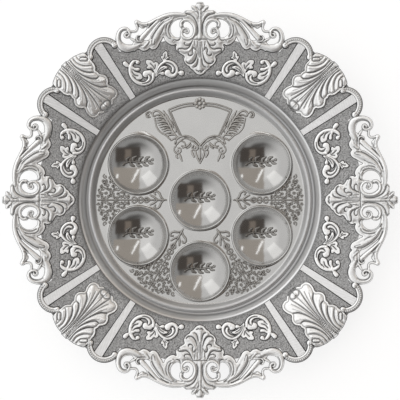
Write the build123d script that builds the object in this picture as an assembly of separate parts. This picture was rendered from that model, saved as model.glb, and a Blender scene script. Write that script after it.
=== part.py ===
from build123d import *
import os
from math import acos, atan2, cos, hypot, pi, radians, sin, tan

# A seder plate: a footed charger dish with a sloping rim field, cast ornaments soldered on that
# field, and a stamped tray with six wells that drops into the recess and lifts out.
# Millimetres, +Z up, origin on the table under the centre, +Y towards the plaque of the tray.

# Wells of the tray
WELL_R = 28.0            # mouth of a bowl
WELL_DEPTH = 12.0
WELL_BEAD_W = 3.0        # raised ring round a bowl
WELL_BEAD_H = 1.2
WELL_GAP = 10.0          # ring to ring
WELL_MARGIN = 2.5        # ring to the edge of the tray floor
WELL_PLACES = 6          # places round the middle well; the one at +Y stays flat for the plaque

# Tray
TRAY_SHEET = 1.0
TRAY_STEP_H = 3.5        # floor up to the seat of the rim
TRAY_STEP_W = 3.0
TRAY_RIM_W = 5.0
TRAY_RIM_CROWN = 2.2     # rolled rim over its seat
TRAY_RIM_EDGE = 0.5      # square edge of the rolled rim
TRAY_PLAY = 1.6          # tray edge to the recess wall

# Foot and dish
FOOT_IN = 8.0            # middle of the foot ring inside the edge of the dish floor
FOOT_W = 6.0
FOOT_NECK_W = 4.0
FOOT_H = 3.0
DISH_SHEET = 1.5
UNDER_GAP = 1.0          # wells clear the dish floor
WALL_RUN = 8.5           # lean of the lower wall
LEDGE_CLEAR = 1.1        # ledge outside the step of the tray
RECESS_RUN = 5.9         # lean of the polished upper wall
RECESS_DROP = 8.0
FIELD_SLOPE = 5.0        # degrees, rising outwards
FLOOR_ROUND = 5.0        # bend radii of the spun dish
LEDGE_ROUND = 2.5
WALL_ROUND = 3.0
EDGE_ROUND = 2.5

# Relief of the castings over the field
CAST_BASE = 2.2          # plain plate of a casting
CAST_RELIEF = 1.5        # raised leaves over the plate
CAST_BORDER = 1.0        # plain border round the raised leaves
SOLDER_GAP = 0.15        # neighbours on the field stay this far apart
BEAD_SINK = 0.45         # middle of a half-round bead below the top of its plate
EYE_SWELL = 0.3          # eye of a volute over the radius of its bead

# Straps and edge mouldings
STRAP_H = 1.0
STRAP_IN = 1.2           # inner end outside the recess edge, past its bend
STRAP_ANGLE = 33.4       # degrees from the nearest cardinal axis
STRAP_SPREAD = 3.4       # degrees, so that the edges run radially
MOULDING_REACH = 52.8    # recess edge to the centre of the arc
MOULDING_R = 15.0
MOULDING_W = 4.8
MOULDING_H = 2.0
MOULDING_TAIL_TURN = 80.0    # degrees of arc towards the cartouche
MOULDING_SHELL_TURN = 66.0   # degrees of arc towards the shell
MOULDING_BULB_R = 2.8
MOULDING_BULB_IN = 1.0   # bulbs curl inside the arc
MOULDING_RIM_OUT = 1.7   # raised rims each way of the pearls
MOULDING_RIM_W = 0.9
MOULDING_RIM_H = 0.6
PEARL_R = 1.1
PEARL_COUNT = 13

# Cartouches: points are (across, outwards) from the collar on the cardinal axis
COLLAR_REACH = 40.0      # recess edge to the collar
SEAT_REACH = 42.0        # dish edge under the collar
TAIL_SEAT_REACH = 47.5   # dish edge under the tails
TAIL_SEAT_HALF = 28.0    # degrees each way of the diagonal
COLLAR_HALF = 8.0
COLLAR_W = 2.2
STEM_FOOT = 2.6
STEM_TOP = 23.0
STEM_HALF = 4.0
STEM_WAIST = 1.2
FINIAL_LOBES = [
    ((0.0, 20.0), (0.0, 32.6), 2.0, 3.4),
    ((1.5, 20.0), (6.4, 30.6), 1.6, 1.5),
    ((3.0, 21.5), (12.6, 26.0), 1.8, 1.7),
]
PALMETTE_LOBES = [
    ((0.0, -3.0), (0.0, -30.5), 3.4, 4.5),
    ((2.0, -3.0), (7.3, -25.2), 2.4, 4.2),
    ((4.0, -4.0), (10.8, -20.3), 2.4, 3.7),
    ((6.0, -5.0), (18.8, -10.6), 2.4, 4.2),
]
SHOULDER_LOBES = [
    ((4.0, -4.5), (32.0, -0.8), 4.0, 2.4),
    ((42.0, -1.0), (46.6, -6.3), 3.0, 3.2),
    ((47.0, -5.0), (56.0, -6.2), 3.2, 4.0),
    ((55.0, -5.0), (62.0, -5.6), 3.4, 3.4),
]
WING_BLADES = [
    ((4.0, 21.6), (58.6, 14.4), 3.4, 7.6),
    ((18.0, 22.6), (47.5, -8.5), 3.0, 13.2),
    ((17.0, 22.0), (25.0, -4.0), 7.4, 13.0),
    ((60.0, -9.4), (86.0, 2.0), -4.2, -8.4),
]
WING_LOBES = [
    ((47.0, 17.4), (61.2, 1.2), 1.0, 1.6),
    ((51.0, 15.6), (60.0, 14.8), 1.6, 1.8),
]
CARTOUCHE_SCROLLS = [
    ((18.3, 12.8), 90.0, [(5.9, 90), (6.4, 90), (5.0, 0), (6.6, 90), (6.2, 90), (3.5, 150)]),
    ((60.0, -6.8), -8.0, [(12.5, 0), (9.2, 98), (2.6, 0), (7.2, 90), (4.6, 90), (2.9, 150)]),
    ((63.0, 17.2), 265.0, [(4.4, 0), (4.2, 100), (2.4, 0)]),
]
CARTOUCHE_SCROLL_W = 3.0
CARTOUCHE_BEAD_R = 1.35
LINK_BULB = (63.0, 17.2)
LINK_BULB_R = 2.0

# Shells: points are (across, outwards) from the root of the ribs on the diagonal
SHELL_REACH = 67.0       # recess edge to the root of the ribs
SHELL_EDGE_IN = 1.0      # dish edge inside the root
SHELL_SEAT_HALF = 8.0    # degrees each way of the diagonal
SHELL_TOE_H = 2.2        # height of the toe over the field
SHELL_CROWN = 4.6
SHELL_CROWN_IN = 22.0
SHELL_TOE_IN = 64.0
SHELL_FOLD_H = 3.6       # height over the root, where the fold starts
SHELL_BEND_IN = 1.2      # middle of the fold inside the lip
SHELL_BEND_H = 1.6
SHELL_RELIEF = 1.2       # ribs over the body
SHELL_GROOVE = 0.7       # ribs inside the lobes
SHELL_LIP_OUT = 5.8
SHELL_LIP_DROP = 3.0
SHELL_FAN = [(22.4, -2.8), (0.0, 4.8), (15.0, -22.0)]
SHELL_LOBES = [
    ((0.0, -1.0), (0.0, -53.4), 1.8, 5.6),
    ((2.4, -1.0), (11.6, -49.6), 1.4, 5.2),
    ((5.0, -1.4), (14.8, -34.8), 1.4, 5.0),
    ((8.6, -2.0), (13.8, -25.6), 1.4, 3.2),
    ((12.6, -2.6), (16.4, -16.6), 1.6, 4.2),
    ((17.2, -3.6), (19.4, -8.0), 1.6, 2.0),
]
SHELL_KNOB_R = 2.6
SHELL_KNOB_OUT = 2.6
SHELL_KNOB_H = 1.8

# Sprays: points are (across, outwards) from their own centre on the field
SPRAY_REACH = 16.0
SPRAY_ANGLE = 19.6
SPRAY_BASE = 1.2
SPRAY_SCROLL_W = 3.6
SPRAY_BEAD_R = 1.2
SPRAY_LEAF_H = 1.9
SPRAY_BORDER = 0.3       # raised leaves and balls inside the plate
SPRAY_SKY = 6.0          # room over the plate for the tallest ball
SPRAY_BALLS = [
    ((-27.1, -1.7), 2.7),
    ((27.6, 7.5), 2.6),
    ((-14.4, -1.6), 4.0),
    ((5.6, -3.8), 5.6),
]
SPRAY_BALL_SINK = 0.45   # share of a ball's radius that lies below the plate's top
SPRAY_SCROLLS = [
    ((-0.6, -5.0), 97.0, [(21.0, 45), (9.4, 128), (6.4, 90)]),
    ((-0.6, -3.2), 270.0, [(10.2, 90), (14.2, 90), (4.0, 0), (5.4, 90), (2.0, 90)]),
]
SPRAY_LOBES = [
    ((-9.0, 9.0), (-12.0, 19.4), 1.4, 1.9),
    ((-9.4, 10.0), (-13.2, 15.4), 1.2, 1.7),
    ((-8.6, 9.0), (-7.4, 15.8), 1.2, 1.7),
    ((-1.0, -4.0), (-8.0, -1.8), 1.2, 2.2),
    ((-1.0, -3.0), (-12.0, 4.6), 1.2, 2.2),
    ((-0.4, -2.0), (-2.6, 8.6), 1.2, 2.3),
    ((-0.2, -2.0), (6.0, 9.2), 1.2, 2.4),
    ((0.6, 0.0), (5.4, 5.2), 1.2, 2.0),
    ((14.0, -11.6), (15.0, 1.4), 1.6, 2.4),
    ((18.0, -10.0), (19.4, 4.0), 1.6, 2.2),
    ((23.4, 6.2), (27.0, 7.4), 1.0, 1.0),
]

# Radii that follow
well_ring_r = WELL_R + WELL_BEAD_W
well_pitch = 2 * well_ring_r + WELL_GAP
tray_floor_r = well_pitch + well_ring_r + WELL_MARGIN
tray_rim_in_r = tray_floor_r + TRAY_STEP_W
tray_r = tray_rim_in_r + TRAY_RIM_W
step_lean = atan2(TRAY_STEP_H + TRAY_SHEET, TRAY_STEP_W)
step_skin = TRAY_SHEET / sin(step_lean)
step_run = TRAY_SHEET / tan(step_lean)
tray_seat_in_r = tray_rim_in_r - step_run + step_skin
ledge_in_r = tray_seat_in_r + LEDGE_CLEAR
ledge_r = tray_r + TRAY_PLAY
floor_r = ledge_in_r - WALL_RUN
foot_r = floor_r - FOOT_IN
recess_r = ledge_r + RECESS_RUN
collar_r = recess_r + COLLAR_REACH
seat_r = recess_r + SEAT_REACH
tail_seat_r = recess_r + TAIL_SEAT_REACH
moulding_r = recess_r + MOULDING_REACH
shell_r = recess_r + SHELL_REACH
shell_edge_r = shell_r - SHELL_EDGE_IN
spray_r = recess_r + SPRAY_REACH
rim_r = moulding_r + 2 * MOULDING_R + MOULDING_W

# Heights that follow
floor_z = FOOT_H + DISH_SHEET
tray_floor_z = floor_z + UNDER_GAP + TRAY_SHEET + WELL_DEPTH
ledge_z = tray_floor_z + TRAY_STEP_H
field_edge_z = ledge_z + RECESS_DROP
field_rise = tan(radians(FIELD_SLOPE))
sky_z = field_edge_z + rim_r * field_rise + SHELL_CROWN + CAST_BASE

CARDINALS = ["north", "east", "south", "west"]
DIAGONALS = ["northeast", "southeast", "southwest", "northwest"]


def field_z(radius):
    """Height of the sloping field at a radius."""
    return field_edge_z + (radius - recess_r) * field_rise


def polar(radius, angle):
    """Plan point at a radius, with the angle in degrees clockwise from +Y."""
    return (radius * sin(radians(angle)), radius * cos(radians(angle)))


def placed(point, origin):
    """A motif's point carried to the motif's place in plan."""
    return (point[0] + origin[0], point[1] + origin[1])


def turned(shape, angle):
    """A shape carried clockwise round the plate."""
    return shape.rotate(Axis.Z, -angle)


def flipped(shape):
    """The left-hand copy of a shape about the +Y axis."""
    return mirror(shape, about=Plane.YZ)


def rz(radius, height):
    """A point of a turned outline."""
    return (radius, 0.0, height)


def spun(edges):
    """Solid of revolution of a closed outline drawn with rz points."""
    return revolve(make_face(edges), Axis.Z)


def spun_polygon(*points):
    """Solid of revolution of a straight-sided outline."""
    return spun(Polyline(*points, close=True).edges())


def field_layer(low, high):
    """Ring between two surfaces that lie low and high over the field."""
    inner = recess_r - DISH_SHEET
    return spun_polygon(
        rz(inner, field_z(inner) + low),
        rz(rim_r, field_z(rim_r) + low),
        rz(rim_r, field_z(rim_r) + high),
        rz(inner, field_z(inner) + high),
    )


def relief(sketch, layer):
    """The part of a layer that stands over a plan outline."""
    return extrude(sketch, amount=sky_z) & layer


def flat_union(faces):
    """One plan outline from a list of outlines."""
    return Sketch() + list(faces)


def both_sides(faces):
    """Plan outlines together with their left-hand copies."""
    return faces + [flipped(face) for face in faces]


def lobe(root, tip, root_radius, tip_radius):
    """Teardrop outline: two circles and their common tangents."""
    reach = hypot(tip[0] - root[0], tip[1] - root[1])
    lie = atan2(tip[1] - root[1], tip[0] - root[0])
    lean = acos((root_radius - tip_radius) / reach)

    def rim(centre, radius, turn):
        return (centre[0] + radius * cos(lie + turn), centre[1] + radius * sin(lie + turn))

    left_root, left_tip = rim(root, root_radius, lean), rim(tip, tip_radius, lean)
    right_root, right_tip = rim(root, root_radius, -lean), rim(tip, tip_radius, -lean)
    return make_face([
        Line(left_root, left_tip),
        ThreePointArc(left_tip, rim(tip, tip_radius, 0.0), right_tip),
        Line(right_tip, right_root),
        ThreePointArc(right_root, rim(root, root_radius, pi), left_root),
    ])


def lobes(shapes, origin, grow):
    """Teardrops of a motif at its place, wider by grow all round."""
    return [
        lobe(placed(root, origin), placed(tip, origin), root_radius + grow, tip_radius + grow)
        for root, tip, root_radius, tip_radius in shapes
    ]


def blades(shapes, origin, shrink):
    """Crescent leaves of a motif, each between two arcs that share their ends."""
    faces = []
    for root, tip, inner, outer in shapes:
        start, end = placed(root, origin), placed(tip, origin)
        side = 1.0 if outer > 0 else -1.0
        upper = SagittaArc(start, end, outer - side * shrink)
        lower = SagittaArc(end, start, -(inner + side * shrink))
        faces.append(make_face([upper, lower]))
    return faces


def scroll(shape, origin):
    """Path of tangent arcs, each (radius, degrees to the left); zero degrees is a straight run."""
    start, heading, turns = shape
    point = Vector(*placed(start, origin))
    edges = []
    for radius, turn in turns:
        direction = Vector(cos(radians(heading)), sin(radians(heading)))
        if turn:
            edge = JernArc(point, direction, radius, turn)
        else:
            edge = Line(point, point + direction * radius)
        edges.append(edge)
        point = edge @ 1
        heading += turn
    return Wire(edges)


def strip(path, width):
    """Plan outline of a band along a path, with round ends."""
    ends = [Pos(path @ 0) * Circle(width / 2), Pos(path @ 1) * Circle(width / 2)]
    return flat_union([trace(path, width)] + ends)


def on_field(shape, spot, lift):
    """A flat-drawn solid laid on the slope of the field at a spot."""
    radius = hypot(spot.X, spot.Y)
    level_line = Axis((spot.X, spot.Y, 0.0), (-spot.Y, spot.X, 0.0))
    return Pos(0, 0, field_z(radius) + lift) * shape.rotate(level_line, -FIELD_SLOPE)


def bead(path, radius, lift):
    """Half-round bead along a scroll, ending in the eye of its volute."""
    section = Plane(origin=path @ 0, z_dir=path % 0) * Circle(radius)
    tube = sweep(section, path=path)
    eye = Pos(path @ 1) * Sphere(radius + EYE_SWELL)
    return on_field(tube.fuse(eye), path @ 0.5, lift - BEAD_SINK)


def pie(radius, half_angle):
    """Plan sector about the +Y axis."""
    left, right = polar(radius, -half_angle), polar(radius, half_angle)
    return make_face([
        Line((0, 0), left),
        ThreePointArc(left, (0, radius), right),
        Line(right, (0, 0)),
    ])


def well():
    """Bowl of revolution with a half-round ring at its mouth, drawn down from the tray floor."""
    sphere_r = (WELL_R ** 2 + WELL_DEPTH ** 2) / (2 * WELL_DEPTH)
    centre_z = sphere_r - WELL_DEPTH
    skin_r = sphere_r + TRAY_SHEET
    skin_mouth = (skin_r ** 2 - (centre_z + TRAY_SHEET) ** 2) ** 0.5

    def on_sphere(radius, mouth, share):
        across = mouth * share
        return rz(across, centre_z - (radius ** 2 - across ** 2) ** 0.5)

    return spun([
        ThreePointArc(rz(0, -WELL_DEPTH), on_sphere(sphere_r, WELL_R, 0.5), rz(WELL_R, 0)),
        ThreePointArc(rz(WELL_R, 0), rz(WELL_R + WELL_BEAD_W / 2, WELL_BEAD_H), rz(well_ring_r, 0)),
        Line(rz(well_ring_r, 0), rz(well_ring_r, -TRAY_SHEET)),
        Line(rz(well_ring_r, -TRAY_SHEET), rz(skin_mouth, -TRAY_SHEET)),
        ThreePointArc(rz(skin_mouth, -TRAY_SHEET), on_sphere(skin_r, skin_mouth, 0.5),
                      rz(0, -WELL_DEPTH - TRAY_SHEET)),
        Line(rz(0, -WELL_DEPTH - TRAY_SHEET), rz(0, -WELL_DEPTH)),
    ])


def centre_tray():
    """Stamped tray: flat floor, step, rolled rim and six wells."""
    under_z = tray_floor_z - TRAY_SHEET
    under_r = tray_floor_r + step_skin - step_run
    rim_mid = rz((tray_rim_in_r + tray_r) / 2, ledge_z + TRAY_RIM_CROWN)
    plate = spun([
        Line(rz(0, tray_floor_z), rz(tray_floor_r, tray_floor_z)),
        Line(rz(tray_floor_r, tray_floor_z), rz(tray_rim_in_r, ledge_z + TRAY_SHEET)),
        ThreePointArc(rz(tray_rim_in_r, ledge_z + TRAY_SHEET), rim_mid, rz(tray_r, ledge_z + TRAY_RIM_EDGE)),
        Line(rz(tray_r, ledge_z + TRAY_RIM_EDGE), rz(tray_r, ledge_z)),
        Line(rz(tray_r, ledge_z), rz(tray_seat_in_r, ledge_z)),
        Line(rz(tray_seat_in_r, ledge_z), rz(under_r, under_z)),
        Line(rz(under_r, under_z), rz(0, under_z)),
        Line(rz(0, under_z), rz(0, tray_floor_z)),
    ])
    step = 360.0 / WELL_PLACES
    spots = [(0.0, 0.0)] + [polar(well_pitch, step * place) for place in range(1, WELL_PLACES)]
    holes = [Pos(*spot, tray_floor_z) * Cylinder(well_ring_r, 4 * TRAY_SHEET) for spot in spots]
    bowls = [Pos(*spot, tray_floor_z) * well() for spot in spots]
    return plate - holes + bowls


def dish_edge():
    """Lobed plan of the dish, which ends under the castings."""
    edge = [Circle(seat_r)]
    for quarter in range(4):
        diagonal = 90.0 * quarter + 45.0
        edge.append(turned(pie(tail_seat_r, TAIL_SEAT_HALF), diagonal))
        edge.append(turned(pie(shell_edge_r, SHELL_SEAT_HALF), diagonal))
        for side in (-1, 1):
            centre = polar(moulding_r, 90.0 * quarter + side * STRAP_ANGLE)
            edge.append(Pos(*centre) * Circle(MOULDING_R))
    return flat_union(edge)


def charger_dish():
    """Spun dish of even sheet: floor, lower wall, seat ledge, polished wall and sloping field."""
    top = FilletPolyline(
        rz(0, floor_z),
        rz(floor_r, floor_z),
        rz(ledge_in_r, ledge_z),
        rz(ledge_r, ledge_z),
        rz(recess_r, field_edge_z),
        rz(rim_r, field_z(rim_r)),
        radius=[FLOOR_ROUND, LEDGE_ROUND, WALL_ROUND, EDGE_ROUND],
    )
    under = top.offset_2d(DISH_SHEET, side=Side.LEFT)
    blank = revolve(make_face(under), Axis.Z)
    return blank & extrude(dish_edge(), amount=sky_z)


def foot_ring():
    """Soldered foot rim, flat where it stands and narrower at the neck."""
    return spun_polygon(
        rz(foot_r - FOOT_W / 2, 0),
        rz(foot_r + FOOT_W / 2, 0),
        rz(foot_r + FOOT_NECK_W / 2, FOOT_H),
        rz(foot_r - FOOT_NECK_W / 2, FOOT_H),
    )


def cartouche_stem(grow):
    """Waisted stem between the collar and the finial."""
    foot, top, half = collar_r + STEM_FOOT, collar_r + STEM_TOP, STEM_HALF + grow
    return make_face([
        SagittaArc((half, foot), (half, top), STEM_WAIST),
        Line((half, top), (-half, top)),
        SagittaArc((-half, top), (-half, foot), STEM_WAIST),
        Line((-half, foot), (half, foot)),
    ])


def cartouche_plan(grow):
    """Pierced outline of a cartouche, open between its scrolls and leaves."""
    origin = (0.0, collar_r)
    edge = CAST_BORDER + grow
    half = lobes(FINIAL_LOBES + PALMETTE_LOBES + SHOULDER_LOBES + WING_LOBES, origin, edge)
    half += blades(WING_BLADES, origin, -grow)
    half += [strip(scroll(shape, origin), CARTOUCHE_SCROLL_W + 2 * grow) for shape in CARTOUCHE_SCROLLS]
    half.append(Pos(*placed(LINK_BULB, origin)) * Circle(LINK_BULB_R + grow))
    collar = Pos(0, collar_r) * Rectangle(2 * COLLAR_HALF, 2 * COLLAR_W)
    return flat_union(both_sides(half) + [cartouche_stem(grow), collar])


def cartouche():
    """Cast crest: pierced plate, raised leaves and half-round scrolls."""
    origin = (0.0, collar_r)
    leaves = lobes(FINIAL_LOBES + PALMETTE_LOBES + WING_LOBES, origin, 0.0)
    leaves += blades(WING_BLADES, origin, CAST_BORDER)
    raised = flat_union(both_sides(leaves) + [cartouche_stem(-CAST_BORDER)])
    plate = relief(cartouche_plan(0.0), field_layer(0.0, CAST_BASE))
    carving = relief(raised, field_layer(CAST_BASE / 2, CAST_BASE + CAST_RELIEF))
    scrolls = [bead(scroll(shape, origin), CARTOUCHE_BEAD_R, CAST_BASE) for shape in CARTOUCHE_SCROLLS]
    return plate.fuse(carving).fuse(*both_sides(scrolls))


def shell_plan(grow):
    """Scalloped outline of a shell, drawn on the +Y axis."""
    origin = (0.0, shell_r)
    shoulder, crest, waist = [placed(point, origin) for point in SHELL_FAN]
    fan = make_face([
        ThreePointArc((-shoulder[0] - grow, shoulder[1]), crest, (shoulder[0] + grow, shoulder[1])),
        Line((shoulder[0] + grow, shoulder[1]), waist),
        Line(waist, (-waist[0], waist[1])),
        Line((-waist[0], waist[1]), (-shoulder[0] - grow, shoulder[1])),
    ])
    return flat_union(both_sides(lobes(SHELL_LOBES, origin, CAST_BORDER + grow)) + [fan])


def shell_layer(low, rise):
    """Crowned layer that rises from the toe, crests and folds down over the edge of the dish."""
    toe, crown, edge = shell_r - SHELL_TOE_IN, shell_r - SHELL_CROWN_IN, shell_edge_r + SOLDER_GAP
    lip, lip_z = shell_r + SHELL_LIP_OUT, field_z(shell_r) - SHELL_LIP_DROP
    fold = rz(shell_r, field_z(shell_r) + SHELL_FOLD_H + rise)
    bend = rz(lip - SHELL_BEND_IN, field_z(shell_r) + SHELL_BEND_H + rise)
    toe_top = rz(toe, field_z(toe) + SHELL_TOE_H + rise)
    return spun([
        Line(rz(toe, field_z(toe) + low), rz(edge, field_z(edge) + low)),
        Line(rz(edge, field_z(edge) + low), rz(edge, lip_z)),
        Line(rz(edge, lip_z), rz(lip, lip_z)),
        ThreePointArc(rz(lip, lip_z), bend, fold),
        ThreePointArc(fold, rz(crown, field_z(crown) + SHELL_CROWN + rise), toe_top),
        Line(toe_top, rz(toe, field_z(toe) + low)),
    ])


def shell():
    """Cast acanthus shell: scalloped body with ribs that fan from the knob, on the +Y axis."""
    origin = (0.0, shell_r)
    body = relief(shell_plan(0.0), shell_layer(0.0, 0.0))
    ribs = relief(
        flat_union(both_sides(lobes(SHELL_LOBES, origin, -SHELL_GROOVE))),
        shell_layer(SHELL_TOE_H / 2, SHELL_RELIEF),
    )
    knob = Pos(0, shell_r + SHELL_KNOB_OUT, field_z(shell_r) + SHELL_KNOB_H) * Sphere(SHELL_KNOB_R)
    return body.fuse(ribs).fuse(knob)


def moulding_path(offset):
    """Arc of an edge moulding about a strap that lies on the +Y axis, cartouche to its left."""
    sweep_angle = MOULDING_TAIL_TURN + MOULDING_SHELL_TURN
    return CenterArc((0.0, moulding_r), MOULDING_R + offset, 90.0 - MOULDING_SHELL_TURN, sweep_angle)


def moulding_bulbs():
    """Ends of an edge moulding, curled inwards."""
    path = moulding_path(-MOULDING_BULB_IN)
    return [path @ 0, path @ 1]


def edge_moulding():
    """Cast C-shaped edging: band, two rims, a row of pearls and a bulb at each end."""
    path = moulding_path(0.0)
    ends = [Pos(spot) * Circle(MOULDING_BULB_R) for spot in moulding_bulbs()]
    neighbours = flat_union([
        turned(cartouche_plan(SOLDER_GAP), -STRAP_ANGLE),
        turned(shell_plan(SOLDER_GAP), 45.0 - STRAP_ANGLE),
    ])
    plan = flat_union([trace(path, MOULDING_W)] + ends) - neighbours
    band = relief(plan, field_layer(0.0, MOULDING_H))
    rims = [
        relief(trace(moulding_path(side * MOULDING_RIM_OUT), MOULDING_RIM_W) - neighbours,
               field_layer(MOULDING_H / 2, MOULDING_H + MOULDING_RIM_H))
        for side in (-1, 1)
    ]
    pearls = [
        on_field(Pos(path @ share) * Sphere(PEARL_R), path @ share, MOULDING_H)
        for share in [(count + 0.5) / PEARL_COUNT for count in range(PEARL_COUNT)]
    ]
    return band.fuse(*rims).fuse(*pearls)


def strap():
    """Bright radial strap from the recess edge to its moulding, on the +Y axis."""
    bar = pie(moulding_r + MOULDING_R, STRAP_SPREAD / 2) - Circle(recess_r + STRAP_IN)
    mouth = Pos(0, moulding_r) * Circle(MOULDING_R - MOULDING_W / 2 - SOLDER_GAP)
    way_in = Pos(0, moulding_r / 2) * Rectangle(2 * MOULDING_R, moulding_r)
    return relief(bar & flat_union([mouth, way_in]), field_layer(0.0, STRAP_H))


def spray():
    """Scroll-and-leaf spray: cut plate, raised leaves, half-round scrolls and domed balls."""
    origin = polar(spray_r, SPRAY_ANGLE)
    plan = lobes(SPRAY_LOBES, origin, 0.0)
    plan += [strip(scroll(shape, origin), SPRAY_SCROLL_W) for shape in SPRAY_SCROLLS]
    plan += [Pos(*placed(spot, origin)) * Circle(radius) for spot, radius in SPRAY_BALLS]
    plate = relief(flat_union(plan), field_layer(0.0, SPRAY_BASE))
    leaves = relief(
        flat_union(lobes(SPRAY_LOBES, origin, -SPRAY_BORDER)),
        field_layer(SPRAY_BASE / 2, SPRAY_LEAF_H),
    )
    scrolls = [bead(scroll(shape, origin), SPRAY_BEAD_R, SPRAY_BASE) for shape in SPRAY_SCROLLS]
    balls = []
    for spot, radius in SPRAY_BALLS:
        centre = Vector(*placed(spot, origin))
        dome = Pos(centre) * Sphere(radius - SPRAY_BORDER)
        balls.append(on_field(dome, centre, SPRAY_BASE - SPRAY_BALL_SINK * radius))
    raised = leaves.fuse(*scrolls, *balls)
    return plate.fuse(raised) & field_layer(0.0, SPRAY_BASE + SPRAY_SKY)


def export(node, shape):
    """Write one node of the plate."""
    export_step(shape, os.path.join("parts", node + ".step"))


def main():
    os.makedirs("parts", exist_ok=True)
    export("foot_ring", foot_ring())
    export("charger_dish", charger_dish())
    export("centre_tray", centre_tray())
    crest, fan = cartouche(), shell()
    edging, bar, sprig = edge_moulding(), strap(), spray()
    for quarter in range(4):
        cardinal = 90.0 * quarter
        export("cartouche_" + CARDINALS[quarter], turned(crest, cardinal))
        export("shell_" + DIAGONALS[quarter], turned(fan, cardinal + 45.0))
        for hand in (0, 1):
            number = str(2 * quarter + hand + 1)
            right = hand == 0
            side = STRAP_ANGLE if right else -STRAP_ANGLE
            export("strap_" + number, turned(bar, cardinal + side))
            export("edge_moulding_" + number, turned(edging if right else flipped(edging), cardinal + side))
            export("spray_" + number, turned(sprig if right else flipped(sprig), cardinal))


if __name__ == "__main__":
    main()
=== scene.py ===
# %% [markdown]
# # A seder plate with a lift-out tray
# The plate is a footed dish with a lobed rim. Cast silver ornaments are soldered on the rim's dark,
# stippled field, and a mirror-polished tray with six wells rests in the recess.
# The packed CAD model gives every place and size. Blender adds the carving that a solid model is too
# coarse for, and the finishes. All lengths below are millimetres until they go into a mesh.

# %% Load the packed plate
import math
import bpy
import numpy as np
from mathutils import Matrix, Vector


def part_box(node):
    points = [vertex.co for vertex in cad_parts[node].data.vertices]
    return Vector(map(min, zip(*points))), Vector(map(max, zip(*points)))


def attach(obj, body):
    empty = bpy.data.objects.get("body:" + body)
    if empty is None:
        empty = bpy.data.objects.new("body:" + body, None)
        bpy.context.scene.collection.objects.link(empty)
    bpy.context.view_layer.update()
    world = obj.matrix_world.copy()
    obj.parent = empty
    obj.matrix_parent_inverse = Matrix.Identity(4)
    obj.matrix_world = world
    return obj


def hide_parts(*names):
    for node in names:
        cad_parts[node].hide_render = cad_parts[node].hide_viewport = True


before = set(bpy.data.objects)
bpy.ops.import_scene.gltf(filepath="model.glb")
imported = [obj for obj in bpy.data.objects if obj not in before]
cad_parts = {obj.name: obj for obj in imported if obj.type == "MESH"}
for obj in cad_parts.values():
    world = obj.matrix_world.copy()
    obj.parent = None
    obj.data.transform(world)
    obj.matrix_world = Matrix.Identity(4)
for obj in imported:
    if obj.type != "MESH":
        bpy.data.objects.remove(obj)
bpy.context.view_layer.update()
MM = 0.001
CARDINALS = ["north", "east", "south", "west"]
DIAGONALS = ["northeast", "southeast", "southwest", "northwest"]
# Pieces that come in eights: number, quarter turn, and 1 or -1 for right or left of a crest.
EIGHTHS = [(number + 1, 90.0 * (number // 2), -1 if number % 2 else 1) for number in range(8)]

# %% [markdown]
# ## The shared sizes
# The rim slopes up from the edge of the recess, and every casting lies on that slope. So one small
# function for the height of the field, and the radii that the CAD model was drawn with, place
# everything. The tray's own radius is read back from its node.

# %% Radii and heights of the plate
FLOOR_Z = 4.5
LEDGE_Z = 22.0
FIELD_EDGE_Z = 30.0
FLOOR_R = 101.64
LEDGE_IN_R = 110.14
LEDGE_R = 115.1
RECESS_R = 121.0
DISH_SHEET = 1.5
FIELD_RISE = math.tan(math.radians(5.0))
STRAP_ANGLE = 33.4
STRAP_SPREAD = 3.4
MOULDING_REACH_R = 173.8
MOULDING_R = 15.0
SHELL_R = 188.0
TRAY_RIM_IN_R = 104.5
TRAY_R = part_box("centre_tray")[1].x / MM


def field_z(radius):
    """Height of the sloping field: the recess edge plus the slope times the way out."""
    return FIELD_EDGE_Z + (radius - RECESS_R) * FIELD_RISE


# %% [markdown]
# ## Arrays into meshes
# A surface here is an array of points and an array of faces. Blender's foreach_set takes such arrays
# whole, which is far quicker than adding faces one at a time. A triangle is a face row whose fourth
# place is -1, and welding gives points that fall together one number, so seams and poles close.


# %% Grids and welding
def grid_faces(around, along, closed=True):
    """Quads of a grid of points, numbered row by row; the last row joins the first when closed."""
    number = np.arange(around * along).reshape(around, along)
    following = np.roll(number, -1, 0) if closed else number[1:]
    here = number if closed else number[:-1]
    rows = [here[:, :-1], following[:, :-1], following[:, 1:], here[:, 1:]]
    return np.stack(rows, -1).reshape(-1, 4)


def weld(points, faces):
    """Points that agree to a micrometre become one, and a quad that loses a side becomes a triangle."""
    _, first, number = np.unique(np.round(points, 3), axis=0, return_index=True, return_inverse=True)
    faces = number.reshape(-1)[faces]
    for corner in range(4):
        same = faces[:, corner] == faces[:, (corner + 1) % 4]
        left = [(corner + 1) % 4, (corner + 2) % 4, (corner + 3) % 4]
        faces[same] = np.column_stack([faces[same][:, left], np.full(same.sum(), -1)])
    shut = (faces[:, 0] == faces[:, 1]) | (faces[:, 1] == faces[:, 2]) | (faces[:, 2] == faces[:, 0])
    return points[first], faces[~shut]


print("a ring of 8 by 3 points has", len(grid_faces(8, 3)), "faces")


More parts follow.
